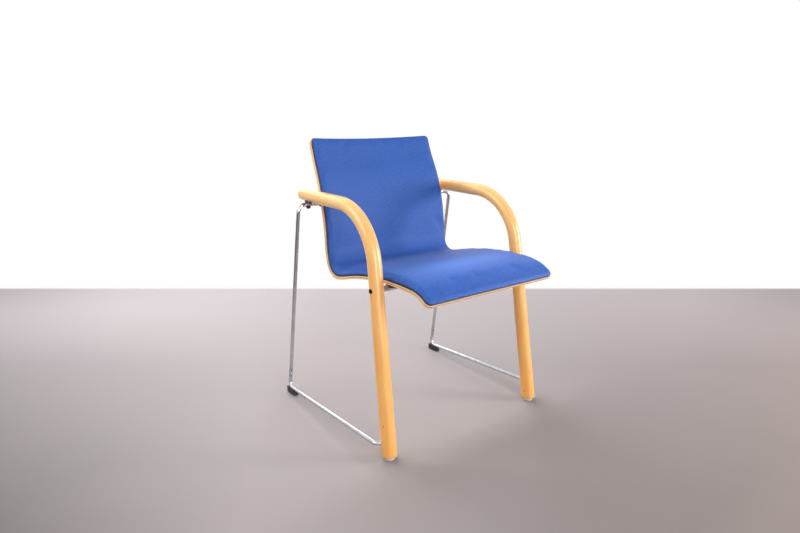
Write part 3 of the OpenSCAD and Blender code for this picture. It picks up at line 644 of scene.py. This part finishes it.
def beech(name):
    """Lacquered bent beech: long soft grain, short dark flecks, warmer feet and a few nicks."""
    m = Material(name)
    rod = m.attribute("rod")
    growth = m.grain(rod, (2.2, 26.0, 26.0), 3.0, 0.55, 0.3)
    lines = m.grain(rod, (7.0, 330.0, 330.0), 2.0, 0.6)
    flecks = m.range(m.cells(m.scaled(rod, (95.0, 900.0, 900.0))), 0.10, 0.24, 1.0, 0.0)
    colour = m.ramp(growth, [
        (0.30, srgb(230, 162, 82)), (0.52, srgb(242, 179, 98)), (0.72, srgb(248, 196, 118))])
    colour = m.mix(m.range(lines, 0.42, 0.66, 0.0, 0.28), colour, srgb(214, 144, 72))
    colour = m.mix(m.times(flecks, 0.36), colour, srgb(160, 98, 44))
    blotch = m.noise(m.position(), 9.0, 2.0, 0.5)
    colour = m.mix(m.range(blotch, 0.5, 0.75, 0.0, 0.22), colour, srgb(222, 148, 72))
    colour = m.mix(m.range(m.split(m.position())[2], 0.0, WARM_TO, 0.45, 0.0), colour, srgb(240, 162, 62))
    worn = 0.0
    for spot, wide, tall in NICKS:
        sizes = (wide * MM, wide * MM, tall * MM)
        away = [m.times(m.math("SUBTRACT", c, middle), 1 / size)
                for c, middle, size in zip(m.split(m.position()), place(spot), sizes)]
        worn = m.math("MAXIMUM", worn, m.range(m.length(m.join(*away)), 0.55, 1.0, 1.0, 0.0))
    colour = m.mix(m.times(worn, 0.75), colour, srgb(104, 58, 26))
    m.set(Base_Color=colour, Roughness=m.range(lines, 0.3, 0.7, 0.30, 0.40))
    m.set(Coat_Weight=0.8, Coat_Roughness=0.3)
    height = m.math("SUBTRACT", m.times(lines, 0.5), m.times(flecks, 0.6))
    m.set(Normal=m.bump(m.math("SUBTRACT", height, worn), 0.12, 0.4))
    return m.mat


def plywood(name):
    """Moulded beech plywood: veneer grain on the faces, layers on the edges."""
    m = Material(name)
    sheet = m.attribute("sheet")
    n = m.split(sheet)[2]
    growth = m.grain(sheet, (30.0, 2.0, 1.0), 3.0, 0.55, 0.4)
    lines = m.grain(sheet, (340.0, 6.0, 1.0), 2.0, 0.6)
    face = m.ramp(growth, [(0.3, srgb(218, 166, 106)), (0.7, srgb(234, 187, 128))])
    face = m.mix(m.range(lines, 0.45, 0.66, 0.0, 0.3), face, srgb(204, 148, 88))
    core = m.range(m.off(n, 0.5 * PLY * MM), CORE_HALF[0] * MM, CORE_HALF[1] * MM, 1.0, 0.0)
    thin = m.range(m.wave(n, LAYER_PITCH), 0.5, 1.0, 0.0, 0.35)
    uneven = m.noise(m.position(), 60.0, 3.0, 0.6)
    edge = m.mix(thin, srgb(252, 214, 166), srgb(214, 158, 104))
    edge = m.mix(m.times(core, 0.8), edge, srgb(132, 84, 50))
    edge = m.mix(m.range(uneven, 0.4, 0.7, 0.0, 0.3), edge, srgb(228, 176, 120))
    on_edge = m.times(m.math("GREATER_THAN", n, FACE_T * MM), m.math("LESS_THAN", n, (PLY - FACE_T) * MM))
    m.set(Base_Color=m.mix(on_edge, face, edge), Roughness=m.range(lines, 0.3, 0.7, 0.34, 0.46))
    m.set(Coat_Weight=0.25, Coat_Roughness=0.2)
    height = m.math("SUBTRACT", m.times(lines, 0.4), m.times(m.times(core, on_edge), 0.4))
    m.set(Normal=m.bump(height, 0.15, 0.4))
    return m.mat


def cloth(name):
    """Plain woven wool cloth in royal blue: melange yarns, fuzz, specks of lint, a painted highlight as a
    paler strip along the front of the seat, and painted shade, dark at its foot where it folds under."""
    m = Material(name)
    on_shell = m.attribute("cloth")
    x, s, n = m.split(on_shell)
    weave = m.times(m.wave(x, WEAVE_PITCH), m.wave(s, WEAVE_PITCH))
    warp = m.grain(on_shell, (1500.0, 120.0, 1.0), 2.0, 0.6)
    weft = m.grain(on_shell, (120.0, 1500.0, 1.0), 2.0, 0.6)
    melange = m.times(m.math("ADD", warp, weft), 0.5)
    tone = m.noise(m.position(), 5.0, 3.0, 0.55)
    colour = m.ramp(melange, [
        (0.38, srgb(26, 63, 137)), (0.5, srgb(37, 84, 167)), (0.62, srgb(58, 110, 196))])
    colour = m.mix(m.range(weave, -1.0, 1.0, 0.0, 0.14), colour, srgb(25, 53, 120))
    colour = m.mix(m.range(tone, 0.35, 0.65, 0.0, 0.18), colour, srgb(38, 76, 150))
    # Painted highlight: the paler strip across the front of the seat stands in for light falling there
    along = m.range(m.off(s, SEAT_HIGHLIGHT_AT * MM), SEAT_HIGHLIGHT_ALONG[0] * MM, SEAT_HIGHLIGHT_ALONG[1] * MM, 0.4, 0.0)
    across = m.range(m.math("ABSOLUTE", x), SEAT_HIGHLIGHT_ACROSS[0] * MM, SEAT_HIGHLIGHT_ACROSS[1] * MM, 1.0, 0.0)
    colour = m.mix(m.times(along, across), colour, srgb(76, 124, 200))
    specks = m.scaled(on_shell, (60.0, 60.0, 1.0))
    chosen = m.math("GREATER_THAN", m.split(m.cells(specks, output="Color"))[0], 0.93)
    lint = m.times(chosen, m.range(m.cells(specks), 0.02, 0.05, 1.0, 0.0))
    colour = m.mix(m.times(lint, 0.5), colour, srgb(170, 185, 220))
    # Painted shade: dark navy low on the cloth's wall, where it folds under beside the rim
    foot = m.range(n, FOOT_PAINTED_SHADE[0] * MM, FOOT_PAINTED_SHADE[1] * MM, 0.92, 0.0)
    m.set(Base_Color=m.mix(foot, colour, srgb(6, 12, 44)), Roughness=m.range(melange, 0.3, 0.7, 0.50, 0.62))
    m.set(Sheen_Weight=0.26, Sheen_Roughness=0.4, Sheen_Tint=srgb(168, 188, 255), Specular_IOR_Level=0.35)
    m.set(Normal=m.bump(m.math("ADD", m.times(weave, 0.5), melange), 0.35, 0.4))
    return m.mat


def foam_stuff(name):
    """Pale yellow open foam."""
    m = Material(name)
    pores = m.cells(m.position(), 700.0)
    m.set(Base_Color=m.ramp(pores, [(0.1, srgb(176, 160, 110)), (0.5, srgb(228, 216, 172))]), Roughness=0.95)
    m.set(Normal=m.bump(pores, 0.5, 0.8))
    return m.mat


def chromed(name):
    """Chrome plating with faint ripples, dull patches, fine scratches and dark, rougher patches low on the
    rear legs.
    """
    m = Material(name)
    where = m.position()
    z = m.split(where)[2]
    dull = m.noise(where, 60.0, 3.0, 0.6)
    ripple = m.noise(where, 30.0, 2.0, 0.5)
    scratch = m.grain(where, (900.0, 900.0, 90.0), 2.0, 0.5)
    colour = m.ramp(dull, [(0.3, srgb(192, 194, 200)), (0.7, srgb(212, 214, 218))])
    # Darker, rougher patches low on the rear legs
    band = m.times(m.range(z, *DARK_PATCH_BEGIN, 0.0, 1.0), m.range(z, *DARK_PATCH_END, 1.0, 0.0))
    dark_patch = m.times(band, m.range(m.noise(where, 210.0, 3.0, 0.7), 0.50, 0.58, 0.0, 0.75))
    m.set(Base_Color=m.mix(dark_patch, colour, srgb(70, 66, 64)), Metallic=1.0)
    rough = m.math("ADD", m.range(dull, 0.4, 0.7, 0.10, 0.20), m.range(scratch, 0.6, 0.75, 0.0, 0.06))
    m.set(Roughness=m.math("ADD", rough, m.times(dark_patch, 0.3)), Normal=m.bump(ripple, 0.06, 0.8))
    return m.mat


def plated(name, colour, rough):
    """Plated or oxidised steel with faint spots."""
    m = Material(name)
    spots = m.noise(m.position(), 180.0, 3.0, 0.6)
    m.set(Base_Color=m.ramp(spots, [(0.3, tuple(c * 0.8 for c in colour)), (0.7, colour)]), Metallic=0.9)
    m.set(Roughness=m.range(spots, 0.3, 0.7, rough, rough + 0.15), Normal=m.bump(spots, 0.1, 0.2))
    return m.mat


def moulded(name, colour, rough):
    """Moulded plastic with a fine grain and dusty, rubbed places."""
    m = Material(name)
    grain = m.noise(m.position(), 2200.0, 2.0, 0.5)
    dust = m.noise(m.position(), 70.0, 4.0, 0.6)
    pale = tuple(c + (0.25 - c) * 0.25 for c in colour)
    m.set(Base_Color=m.mix(m.range(dust, 0.45, 0.7, 0.0, 0.6), colour, pale))
    m.set(Roughness=m.range(dust, 0.3, 0.7, rough, rough + 0.2), Normal=m.bump(grain, 0.2, 0.2))
    return m.mat


def raw_wood(name, dark, light):
    """Wood without lacquer, with rings between a dark and a light colour."""
    m = Material(name)
    rings = m.grain(m.position(), (60.0, 60.0, 14.0), 3.0, 0.6, 0.5)
    m.set(Base_Color=m.ramp(rings, [(0.35, dark), (0.65, light)]), Roughness=0.6, Specular_IOR_Level=0.1)
    m.set(Normal=m.bump(rings, 0.2, 0.4))
    return m.mat


BEECH = beech("beech")
PLYWOOD = plywood("plywood")
CLOTH = cloth("blue_cloth")
FOAM = foam_stuff("foam")
CHROME = chromed("chrome")
ZINC = plated("zinc", srgb(160, 163, 170), 0.35)
BLACK_STEEL = plated("black_steel", srgb(34, 33, 36), 0.35)
# Painted shade: a darker plating for the spacers, which sit in shade between armrest and wire
SPACER_PAINTED_SHADE = plated("spacer_steel_painted_shade", srgb(96, 95, 102), 0.3)
BLACK = moulded("black_plastic", srgb(22, 22, 26), 0.45)
PALE = moulded("pale_plastic", srgb(206, 204, 200), 0.45)
PLUG = raw_wood("plug_wood", srgb(70, 48, 38), srgb(96, 66, 50))
BOARD = raw_wood("board_wood", srgb(170, 128, 82), srgb(206, 164, 112))

# Wooden arm legs
# The middle of a leg's foot, without the side's sign
LEG_FOOT = Vector((267.5, 0, 6))
# Directions in degrees: the leg leans inwards and back, the armrest turns inwards and rises
LEG_TUCK, LEG_LEAN, ARM_TOE, ARM_RISE = 1.4, 8.7, 0.6, 1.1
LEG_L, ARM_L, BEND_R = 629.0, 345.5, 164.0
FOOT_R, BEND_ROD_R, ARM_END_R = 20.5, 18.5, 17.25
# The leg is cut level at this height, over its glide
FOOT_Z, FOOT_ROUND = 9.0, 3.5
WIRE_R = 5.75
# Bolts: x and y of the upright one in the armrest, y and z of the level one in the leg
ARM_BOLT, BAR_BOLT = (248.959, 415.033), (65.355, 433.097)
ARM_BOLT_HOLE_R = 2.6
# The wire's end in the leg, and its first bend
RUNNER_END, RUNNER_KINK = (271.132, 8.387, 42.0), (295.62, 24.009, 42.0)
# Places across the chair: past the leg on its inside and outside, the bar's end, the seat of the bolt's head
LEG_IN, LEG_OUT, BAR_STOP, HEAD_SEAT = 200, 300, 244.44, 273.301
# Holes in a leg: start, end and radius
LEG_HOLES = [
    # Armrest bolt and its plug
    ((*ARM_BOLT, 600), (*ARM_BOLT, 643), ARM_BOLT_HOLE_R),
    ((*ARM_BOLT, 641.83), (*ARM_BOLT, 660), 6.1),
    # The crossbar's bolt, the bar's end and the bolt's head
    ((LEG_IN, *BAR_BOLT), (LEG_OUT, *BAR_BOLT), 3.1),
    ((LEG_IN, *BAR_BOLT), (BAR_STOP, *BAR_BOLT), 8.1),
    ((HEAD_SEAT, *BAR_BOLT), (LEG_OUT, *BAR_BOLT), 6.35),
    # The wire's end and the glide's nail
    (RUNNER_END, RUNNER_KINK, WIRE_R + 0.1),
    ((LEG_FOOT.x, LEG_FOOT.y, 0), (LEG_FOOT.x, LEG_FOOT.y, 29), 1.35)]


def slope(degrees):
    return math.tan(math.radians(degrees))


LEG_DIR = Vector((-slope(LEG_TUCK), slope(LEG_LEAN), 1)).normalized()
ARM_DIR = Vector((-slope(ARM_TOE), 1, slope(ARM_RISE))).normalized()
# Where leg and armrest would meet without their bend
ARM_CORNER = LEG_FOOT + LEG_DIR * LEG_L


def mirrored(p, side):
    """A point as it is on one side: -1 for the left, seen from the front, and 1 for the right."""
    return Vector((p[0] * side, p[1], p[2]))


def arm_leg(name, side):
    """A leg that turns into its armrest, with its holes."""
    points = [LEG_FOOT, ARM_CORNER, ARM_CORNER + ARM_DIR * ARM_L]
    path, lengths = rod_path([mirrored(p, side) for p in points], [0, BEND_R, 0], step=8, turn_step=2.5)
    turn = LEG_DIR.angle(ARM_DIR)
    leg_run, arc = LEG_L - BEND_R * math.tan(turn / 2), BEND_R * turn

    def radius(length):
        if length <= leg_run:
            return FOOT_R + (BEND_ROD_R - FOOT_R) * length / leg_run
        past = max(0.0, length - leg_run - arc)
        return BEND_ROD_R + (ARM_END_R - BEND_ROD_R) * past / (lengths[-1] - leg_run - arc)

    rod = Rod(path, lengths)
    obj = rod.sweep(name, radius, sides=64, foot_z=FOOT_Z, foot_round=FOOT_ROUND, domed=True)
    drill(obj, [(mirrored(a, side), mirrored(b, side), r) for a, b, r in LEG_HOLES])
    rod.mark(obj)
    return obj


for name, side in (("arm_leg_left", -1), ("arm_leg_right", 1)):
    finish_piece(arm_leg(name.replace("arm_leg", "bent_leg"), side), [name], BEECH)

# Plugs and glides
# Turned pieces: sides, and the radius that stands for the axis
TURNED_SIDES, AXIS_R = 48, 0.02
# Radius of the armrest at its bolt
ARM_BOLT_R = 17.4
# Radii of the rings on the plug's top, which follows the armrest
PLUG_RINGS = (AXIS_R, 2, 4)
PLUG_R, PLUG_FLOOR, PLUG_EDGE = 5.95, 646.1, 0.4
GLIDE_R, GLIDE_EDGE, GLIDE_GAP = 13.0, 1.2, 0.2
# The nail in the glide
NAIL_R, NAIL_HEAD_R, NAIL_HEAD_FLOOR, NAIL_HEAD_TOP = 1.45, 6.25, 1.95, 3.3
GLIDE_TOP = FOOT_Z - GLIDE_GAP


def turned_pair(name, centre, profile):
    """A turned solid on each side. The profile leaves the axis and comes back to it, as radius and height;
    a height may depend on the place."""
    verts, faces = [], []
    for side in (-1, 1):
        first = len(verts)
        for r, height in profile:
            for i in range(TURNED_SIDES):
                turn = math.tau * i / TURNED_SIDES
                x, y = centre[0] + r * math.cos(turn), centre[1] + r * math.sin(turn)
                z = height(x, y) if callable(height) else height
                verts.append(place(mirrored((x, y, z), side)))
        last = len(verts) - TURNED_SIDES
        for a in range(first, last, TURNED_SIDES):
            b = a + TURNED_SIDES
            for i in range(TURNED_SIDES):
                j = (i + 1) % TURNED_SIDES
                faces.append((a + i, b + i, b + j, a + j)[::side])
        faces.append(tuple(first + i for i in range(TURNED_SIDES))[::side])
        faces.append(tuple(last + i for i in range(TURNED_SIDES))[::-side])
    return new_object(name, verts, faces)


def arm_top(x, y):
    """Height of the armrest's upper face over a point near its bolt."""
    w = Vector((x - ARM_CORNER.x, y - ARM_CORNER.y))
    s = w.x * ARM_DIR.x + w.y * ARM_DIR.y
    a, b, c = 1 - ARM_DIR.z ** 2, -2 * ARM_DIR.z * s, w.length_squared - s * s - ARM_BOLT_R ** 2
    return ARM_CORNER.z + (-b + math.sqrt(b * b - 4 * a * c)) / (2 * a)


plugs = turned_pair("plug_pair", ARM_BOLT, [
    *((r, arm_top) for r in PLUG_RINGS), (PLUG_R - PLUG_EDGE, arm_top),
    (PLUG_R, lambda x, y: arm_top(x, y) - PLUG_EDGE), (PLUG_R, PLUG_FLOOR), (AXIS_R, PLUG_FLOOR)])
finish_piece(plugs, ["arm_plugs"], PLUG)

glides = turned_pair("glide_pair", (LEG_FOOT.x, LEG_FOOT.y), [
    (AXIS_R, NAIL_HEAD_FLOOR), (NAIL_HEAD_R, NAIL_HEAD_FLOOR),
    (NAIL_HEAD_R, NAIL_HEAD_TOP), (NAIL_R, NAIL_HEAD_TOP),
    (NAIL_R, GLIDE_TOP), (GLIDE_R, GLIDE_TOP),
    (GLIDE_R, GLIDE_EDGE), (GLIDE_R - GLIDE_EDGE, 0), (AXIS_R, 0)])
shade(glides.data, smooth=False)
finish_piece(glides, ["front_glides"], PALE)

# Wire frame
REAR_CORNER = (295.0, 497.0, 18.5)
# The top of a rear leg, and the bend at the armrest's bolt, from which the cross wire starts
TOP_CORNER, CROSS_BEND = (285.959, 404.033, 606.07), (261.959, 415.033, 606.07)
WIRE_SIDE = [RUNNER_END, RUNNER_KINK, REAR_CORNER, TOP_CORNER, CROSS_BEND]
# Bend radii at these points
WIRE_RADII = [0, 14, 18, 18, 16]
# Heights between which the bolt's hole is cut
WIRE_HOLE = (590, 625)

wire_points = WIRE_SIDE + [mirrored(p, -1) for p in reversed(WIRE_SIDE)]
wire_rod = Rod(*rod_path(wire_points, WIRE_RADII + WIRE_RADII[::-1], step=12, turn_step=6))
wire = wire_rod.sweep("wire", lambda _l: WIRE_R, sides=32)
drill(wire, [(*(mirrored((*ARM_BOLT, z), side) for z in WIRE_HOLE), ARM_BOLT_HOLE_R) for side in (-1, 1)])
wire_rod.mark(wire)
finish_piece(wire, ["wire_frame"], CHROME)

# Shell
PLIES, RIM_ROUND = 8, 1.2
sheet = Layer(inset=0, fine=8, rows=90, edge=12, edge_fine=2, count=30)
sheet.grid(lambda s, x: PLY)
for k in range(PLIES - 1, 0, -1):
    sheet.ring(PLY * k / PLIES)
sheet.grid(lambda s, x: 0.0)
shell = sheet.build("shell", "sheet")
bevel = shell.modifiers.new("edge", "BEVEL")
bevel.width = RIM_ROUND * MM
bevel.segments = 3
bevel.angle_limit = math.radians(50)
finish_piece(shell, ["seat_shell"], PLYWOOD)

# Upholstery
COVER_ROWS, COVER_COLS, COVER_FINE = 104, 52, 9
# The cloth's thickness, how far its foot is tucked in, and the rings down its wall
CLOTH_T, TUCK, WALL_RINGS = 0.7, 0.7, 5
# The foam is set in from the shell's edge, and lies this far under the cloth's face
FOAM_INSET, FOAM_LESS = 2.95, 1.45
# Most that the swelling lifts or sinks a point, its last frame, and the width that is held round the edge
SWELL_MOST, SINK_MOST = 2.2, 0.9
SWELL_FRAMES, HELD_W = 20, 2.0
# Creases where the seat meets the back: points (x, length along the profile) and depth
CREASES = [([(-228, 384), (-205, 395), (-165, 438), (-125, 478), (-96, 492)], 1.7),
           ([(228, 388), (205, 402), (172, 440), (142, 468)], 1.0),
           ([(-60, 452), (-10, 461), (48, 455)], 0.45)]
CREASE_W = 3.6
# The ridge ahead of a crease: its height in the crease's depth, its place and width in the crease's width
RIDGE_H, RIDGE_AT, RIDGE_W = 0.5, 2.4, 1.6
# Along a crease its depth follows the root of a half wave, from this share of the wave to the wave's end
CREASE_START = 0.22


def pad_layer(inset, less):
    """The pad's outer skin, lower by less."""
    layer = Layer(inset, COVER_FINE, COVER_ROWS, PAD_EDGE, COVER_FINE, COVER_COLS)
    layer.grid(lambda s, x: PLY + pad_height(s, x, inset) - less)
    return layer


def up_from_shell(x, s):
    """The direction away from the shell's outer face."""
    return (shell_point(s, x, 1.0) - shell_point(s, x, 0.0)).normalized()


def crease(x, s):
    """Height that the creases take off or push up at a place on the pad, in millimetres."""
    total = 0.0
    for line, deep in CREASES:
        best, at = 1e9, 0.0
        for i, ((x0, s0), (x1, s1)) in enumerate(zip(line, line[1:])):
            dx, ds = x1 - x0, s1 - s0
            t = max(0.0, min(1.0, ((x - x0) * dx + (s - s0) * ds) / (dx * dx + ds * ds)))
            px, ps = x - x0 - dx * t, s - s0 - ds * t
            far = math.hypot(px, ps)
            if far < best:
                best, at = far, (i + t) / (len(line) - 1)
                ahead = 1.0 if px * ds - ps * dx < 0 else -1.0
        fade = math.sqrt(math.sin(math.pi * min(1.0, CREASE_START + (1 - CREASE_START) * at)))
        groove = -math.exp(-(best / CREASE_W) ** 2)
        ridge = RIDGE_H * math.exp(-((best * ahead - RIDGE_AT * CREASE_W) / (RIDGE_W * CREASE_W)) ** 2)
        total += deep * fade * (groove + ridge)
    return total


def swollen(count):
    """How far each of the pad's first points moves when the cloth, held round its edge, swells."""
    layer = pad_layer(BORDER, 0)
    layer.grid(lambda s, x: PLY + GLUE)
    obj = layer.build("swelling", "cloth")
    rest = [v.co.copy() for v in obj.data.vertices]
    places = [(x / MM, s / MM) for x, s, _n in layer.where[:count]]

    def in_from_edge(x, s):
        return min(s - BORDER, SHELL_LEN - BORDER - s, outline_half(s, BORDER) - abs(x))

    still = [i for i in range(len(rest)) if i >= count or in_from_edge(*places[i]) <= HELD_W]
    obj.vertex_groups.new(name="held").add(still, 1.0, "REPLACE")
    sim = obj.modifiers.new("cloth", "CLOTH")
    st = sim.settings
    st.quality = 6
    st.mass = 0.3
    st.tension_stiffness = st.compression_stiffness = 25
    st.shear_stiffness = 12
    st.bending_stiffness = 2.0
    st.use_pressure = True
    st.uniform_pressure_force = 3.5
    st.shrink_min = -0.015
    st.vertex_group_mass = "held"
    st.effector_weights.gravity = 0
    sim.collision_settings.use_collision = False
    sim.point_cache.frame_start, sim.point_cache.frame_end = 1, SWELL_FRAMES
    scene = bpy.context.scene
    for f in range(1, SWELL_FRAMES + 1):
        scene.frame_set(f)
    done = obj.evaluated_get(bpy.context.evaluated_depsgraph_get()).data
    moved = [done.vertices[i].co - rest[i] for i in range(count)]
    scene.frame_set(1)
    bpy.data.objects.remove(obj)
    out = []
    for d, (x, s) in zip(moved, places):
        up = up_from_shell(x, s)
        high = d.dot(up) / MM
        most = SWELL_MOST if high > 0 else SINK_MOST
        out.append(up * (most * math.tanh(high / most) * MM))
    return out


def settle(obj, moves):
    """Moves the mesh's first points by the swelling, and all of its face into the creases."""
    for v, d in zip(obj.data.vertices, moves):
        v.co += d
    where = obj.data.attributes["cloth"].data
    for i, v in enumerate(obj.data.vertices):
        x, s, n = (c / MM for c in where[i].vector)
        if n > PLY + PAD_WALL:
            v.co += up_from_shell(x, s) * (crease(x, s) * MM)


skin = pad_layer(BORDER, 0)
points = len(skin.verts)
for k in range(1, WALL_RINGS + 1):
    t = k / WALL_RINGS
    skin.ring(PLY + GLUE + (PAD_WALL - GLUE) * (1 - t), TUCK * (1 - math.sqrt(1 - t * t)))
moves = swollen(points)
cover = skin.build("upholstery", "cloth", closed=False)
for v, d in zip(cover.data.vertices, moves):
    v.co += d
finer = cover.modifiers.new("finer", "SUBSURF")
finer.levels = finer.render_levels = 1
bake_modifiers(cover)
settle(cover, [])
thick = cover.modifiers.new("thick", "SOLIDIFY")
thick.thickness = CLOTH_T * MM
thick.offset = -1
bake_modifiers(cover)
finish_piece(cover, ["fabric_cover"], CLOTH)

stuffing = pad_layer(FOAM_INSET, FOAM_LESS)
stuffing.grid(lambda s, x: PLY + GLUE + BOARD_T + SOFT_GAP)
foam = stuffing.build("foam_core", "cloth")
settle(foam, moves)
finish_piece(foam, ["foam_pad"], FOAM)

# Carried-over solids
SLOT_MATERIAL = {
    "chrome": CHROME, "zinc": ZINC, "black_steel": BLACK_STEEL, "black_plastic": BLACK, "board": BOARD}
for entry in frame["record"]["subparts"]:
    # The spacers take the darker plating, painted shade, in place of their slot's material
    material = SPACER_PAINTED_SHADE if entry["node"] == "arm_spacers" else SLOT_MATERIAL.get(entry["material_slot"])
    obj = bpy.data.objects.get(entry["node"])
    if material is not None and obj is not None and obj.type == "MESH":
        dress(obj, material)

# Stage, light, camera
# Places are in metres, angles in radians, the lens and its sensor in millimetres
CAMERA_AT = Vector((-1.04599, GLIDE_Y - 1.06137, 0.84499))
CAMERA_DOWN, CAMERA_TURN = 0.25016, -0.65307
CAMERA_LENS, CAMERA_SENSOR, CAMERA_REACH = 25.998, 36, 60
# Level directions along the photo's view and across it
VIEW_DIR = Vector((-math.sin(CAMERA_TURN), math.cos(CAMERA_TURN), 0))
VIEW_SIDE = Vector((math.cos(CAMERA_TURN), math.sin(CAMERA_TURN), 0))
# Half the floor's side
FLOOR_HALF = 9.0
# The line past which it is white, half its blend, and the distances between which it turns white far out
FLOOR_END, FLOOR_BLEND, FLOOR_OUT = 2.848, 0.015, (3.2, 4.6)
# The floor's colour, by the distance along the photo's view
FLOOR_TONES = [(0.9, (142, 135, 134)), (1.4, (143, 137, 137)), (2.1, (143, 137, 139)), (2.4, (144, 138, 140)),
               (2.66, (146, 139, 142)), (2.9, (150, 143, 146))]


def floor_material(name):
    """Pale floor whose tone is set out in metres from the camera's place: nearly even along the view, with
    painted light making it a little paler far off; painted shade makes it darker and warmer to its right and
    darker near on its left, and painted light makes it paler far out at both sides. It is fixed in the world.
    It looks white past a line and far out."""
    m = Material(name)
    m.set(Roughness=0.7, Specular_IOR_Level=0.2)
    x, y, _z = m.split(m.position())

    def reach(d):
        at = m.times(m.math("SUBTRACT", x, CAMERA_AT.x), d.x)
        return m.math("ADD", at, m.times(m.math("SUBTRACT", y, CAMERA_AT.y), d.y))

    along, across = reach(VIEW_DIR), reach(VIEW_SIDE)
    near, far = FLOOR_TONES[0][0], FLOOR_TONES[-1][0]
    base = m.ramp(m.range(along, near, far), [((d - near) / (far - near), srgb(*c)) for d, c in FLOOR_TONES])
    # How far to the side, as a share of the distance
    wide = m.math("DIVIDE", across, m.math("ADD", m.math("MAXIMUM", along, 0.8), 0.2))
    # Painted shade: darker and warmer to the right of the view
    base = m.mix(m.range(wide, 0.12, 0.7, 0.0, 0.6), base, srgb(104, 88, 82))
    # Painted shade: darker near on the left
    darker = m.times(m.range(wide, -0.26, -0.75, 0.0, 1.0), m.range(along, 1.0, 2.5, 0.85, 0.05))
    base = m.mix(darker, base, srgb(76, 72, 74))
    # Painted light: paler far out at both sides
    sides = m.range(m.math("ABSOLUTE", wide), 0.12, 0.48, 0.0, 1.0)
    base = m.mix(m.times(sides, m.range(along, 1.9, 2.8, 0.0, 0.32)), base, srgb(205, 196, 200))
    cloudy = m.noise(m.position(), 3.0, 5.0, 0.6)
    m.set(Base_Color=m.mix(m.range(cloudy, 0.35, 0.7, 0.0, 0.10), base, srgb(150, 140, 136)))
    past = m.range(along, FLOOR_END - FLOOR_BLEND, FLOOR_END + FLOOR_BLEND)
    out = m.range(m.length(m.position()), *FLOOR_OUT)
    white = m.add("Emission")
    m.put(white.inputs["Color"], (1, 1, 1))
    blend = m.add("MixShader")
    m.put(blend.inputs[0], m.times(m.math("MAXIMUM", past, out), m.looked_at()))
    m.link(m.bsdf.outputs[0], blend.inputs[1])
    m.link(white.outputs[0], blend.inputs[2])
    m.link(blend.outputs[0], m.out.inputs[0])
    return m.mat


corners = [(x * FLOOR_HALF, y * FLOOR_HALF, 0) for x, y in ((-1, -1), (1, -1), (1, 1), (-1, 1))]
floor = new_object("floor", corners, [(0, 1, 2, 3)])
dress(floor, floor_material("floor"))

# The world is white to look at, and lights less
WORLD_LIGHT = 0.4
world = bpy.data.worlds.new("world")
bpy.context.scene.world = world
world.use_nodes = True
sky = Nodes(world.node_tree)
back = sky.add("Background")
sky.put(back.inputs["Color"], (1, 1, 1))
sky.put(back.inputs["Strength"], sky.range(sky.looked_at(), 0.0, 1.0, WORLD_LIGHT, 1.0))
sky.link(back.outputs[0], sky.add("OutputWorld").inputs[0])


def area(name, at, to, size, power):
    """A lamp that faces a point, in metres and watts. It isn't seen itself."""
    light = bpy.data.lights.new(name, "AREA")
    light.shape = "RECTANGLE"
    light.size, light.size_y = size
    light.energy = power
    obj = bpy.data.objects.new(name, light)
    bpy.context.scene.collection.objects.link(obj)
    obj.location = at
    obj.rotation_mode = "QUATERNION"
    obj.rotation_quaternion = (Vector(to) - Vector(at)).to_track_quat("-Z", "Y")
    obj.visible_camera = False
    return obj


# Two wide lamps behind: the high one doesn't show in glosses, the low one does
behind = area("behind", at=(0.05, 1.65, 1.9), to=(0, 0, 0.45), size=(3.4, 0.3), power=98)
behind.visible_glossy = False
area("behind_low", at=(0.3, 1.9, 1.3), to=(0, 0, 0.5), size=(2.4, 0.4), power=9)
area("front", at=(-0.8, -2.7, 1.2), to=(0, 0, 0.5), size=(1.3, 1.5), power=43)
area("left", at=(-1.7, 0.45, 1.8), to=(-0.2, 0.1, 0.5), size=(1.3, 1.2), power=16)
area("window", at=(1.78, -1.60, 0.87), to=(0, 0.1, 0.5), size=(0.6, 0.8), power=40)

camera = bpy.data.cameras.new("camera")
camera.sensor_width = CAMERA_SENSOR
camera.lens = CAMERA_LENS
camera.clip_end = CAMERA_REACH
cam = bpy.data.objects.new("camera", camera)
bpy.context.scene.collection.objects.link(cam)
cam.location = CAMERA_AT
cam.rotation_euler = (math.pi / 2 - CAMERA_DOWN, 0, CAMERA_TURN)
bpy.context.scene.camera = cam
bpy.context.scene.view_settings.view_transform = "Standard"
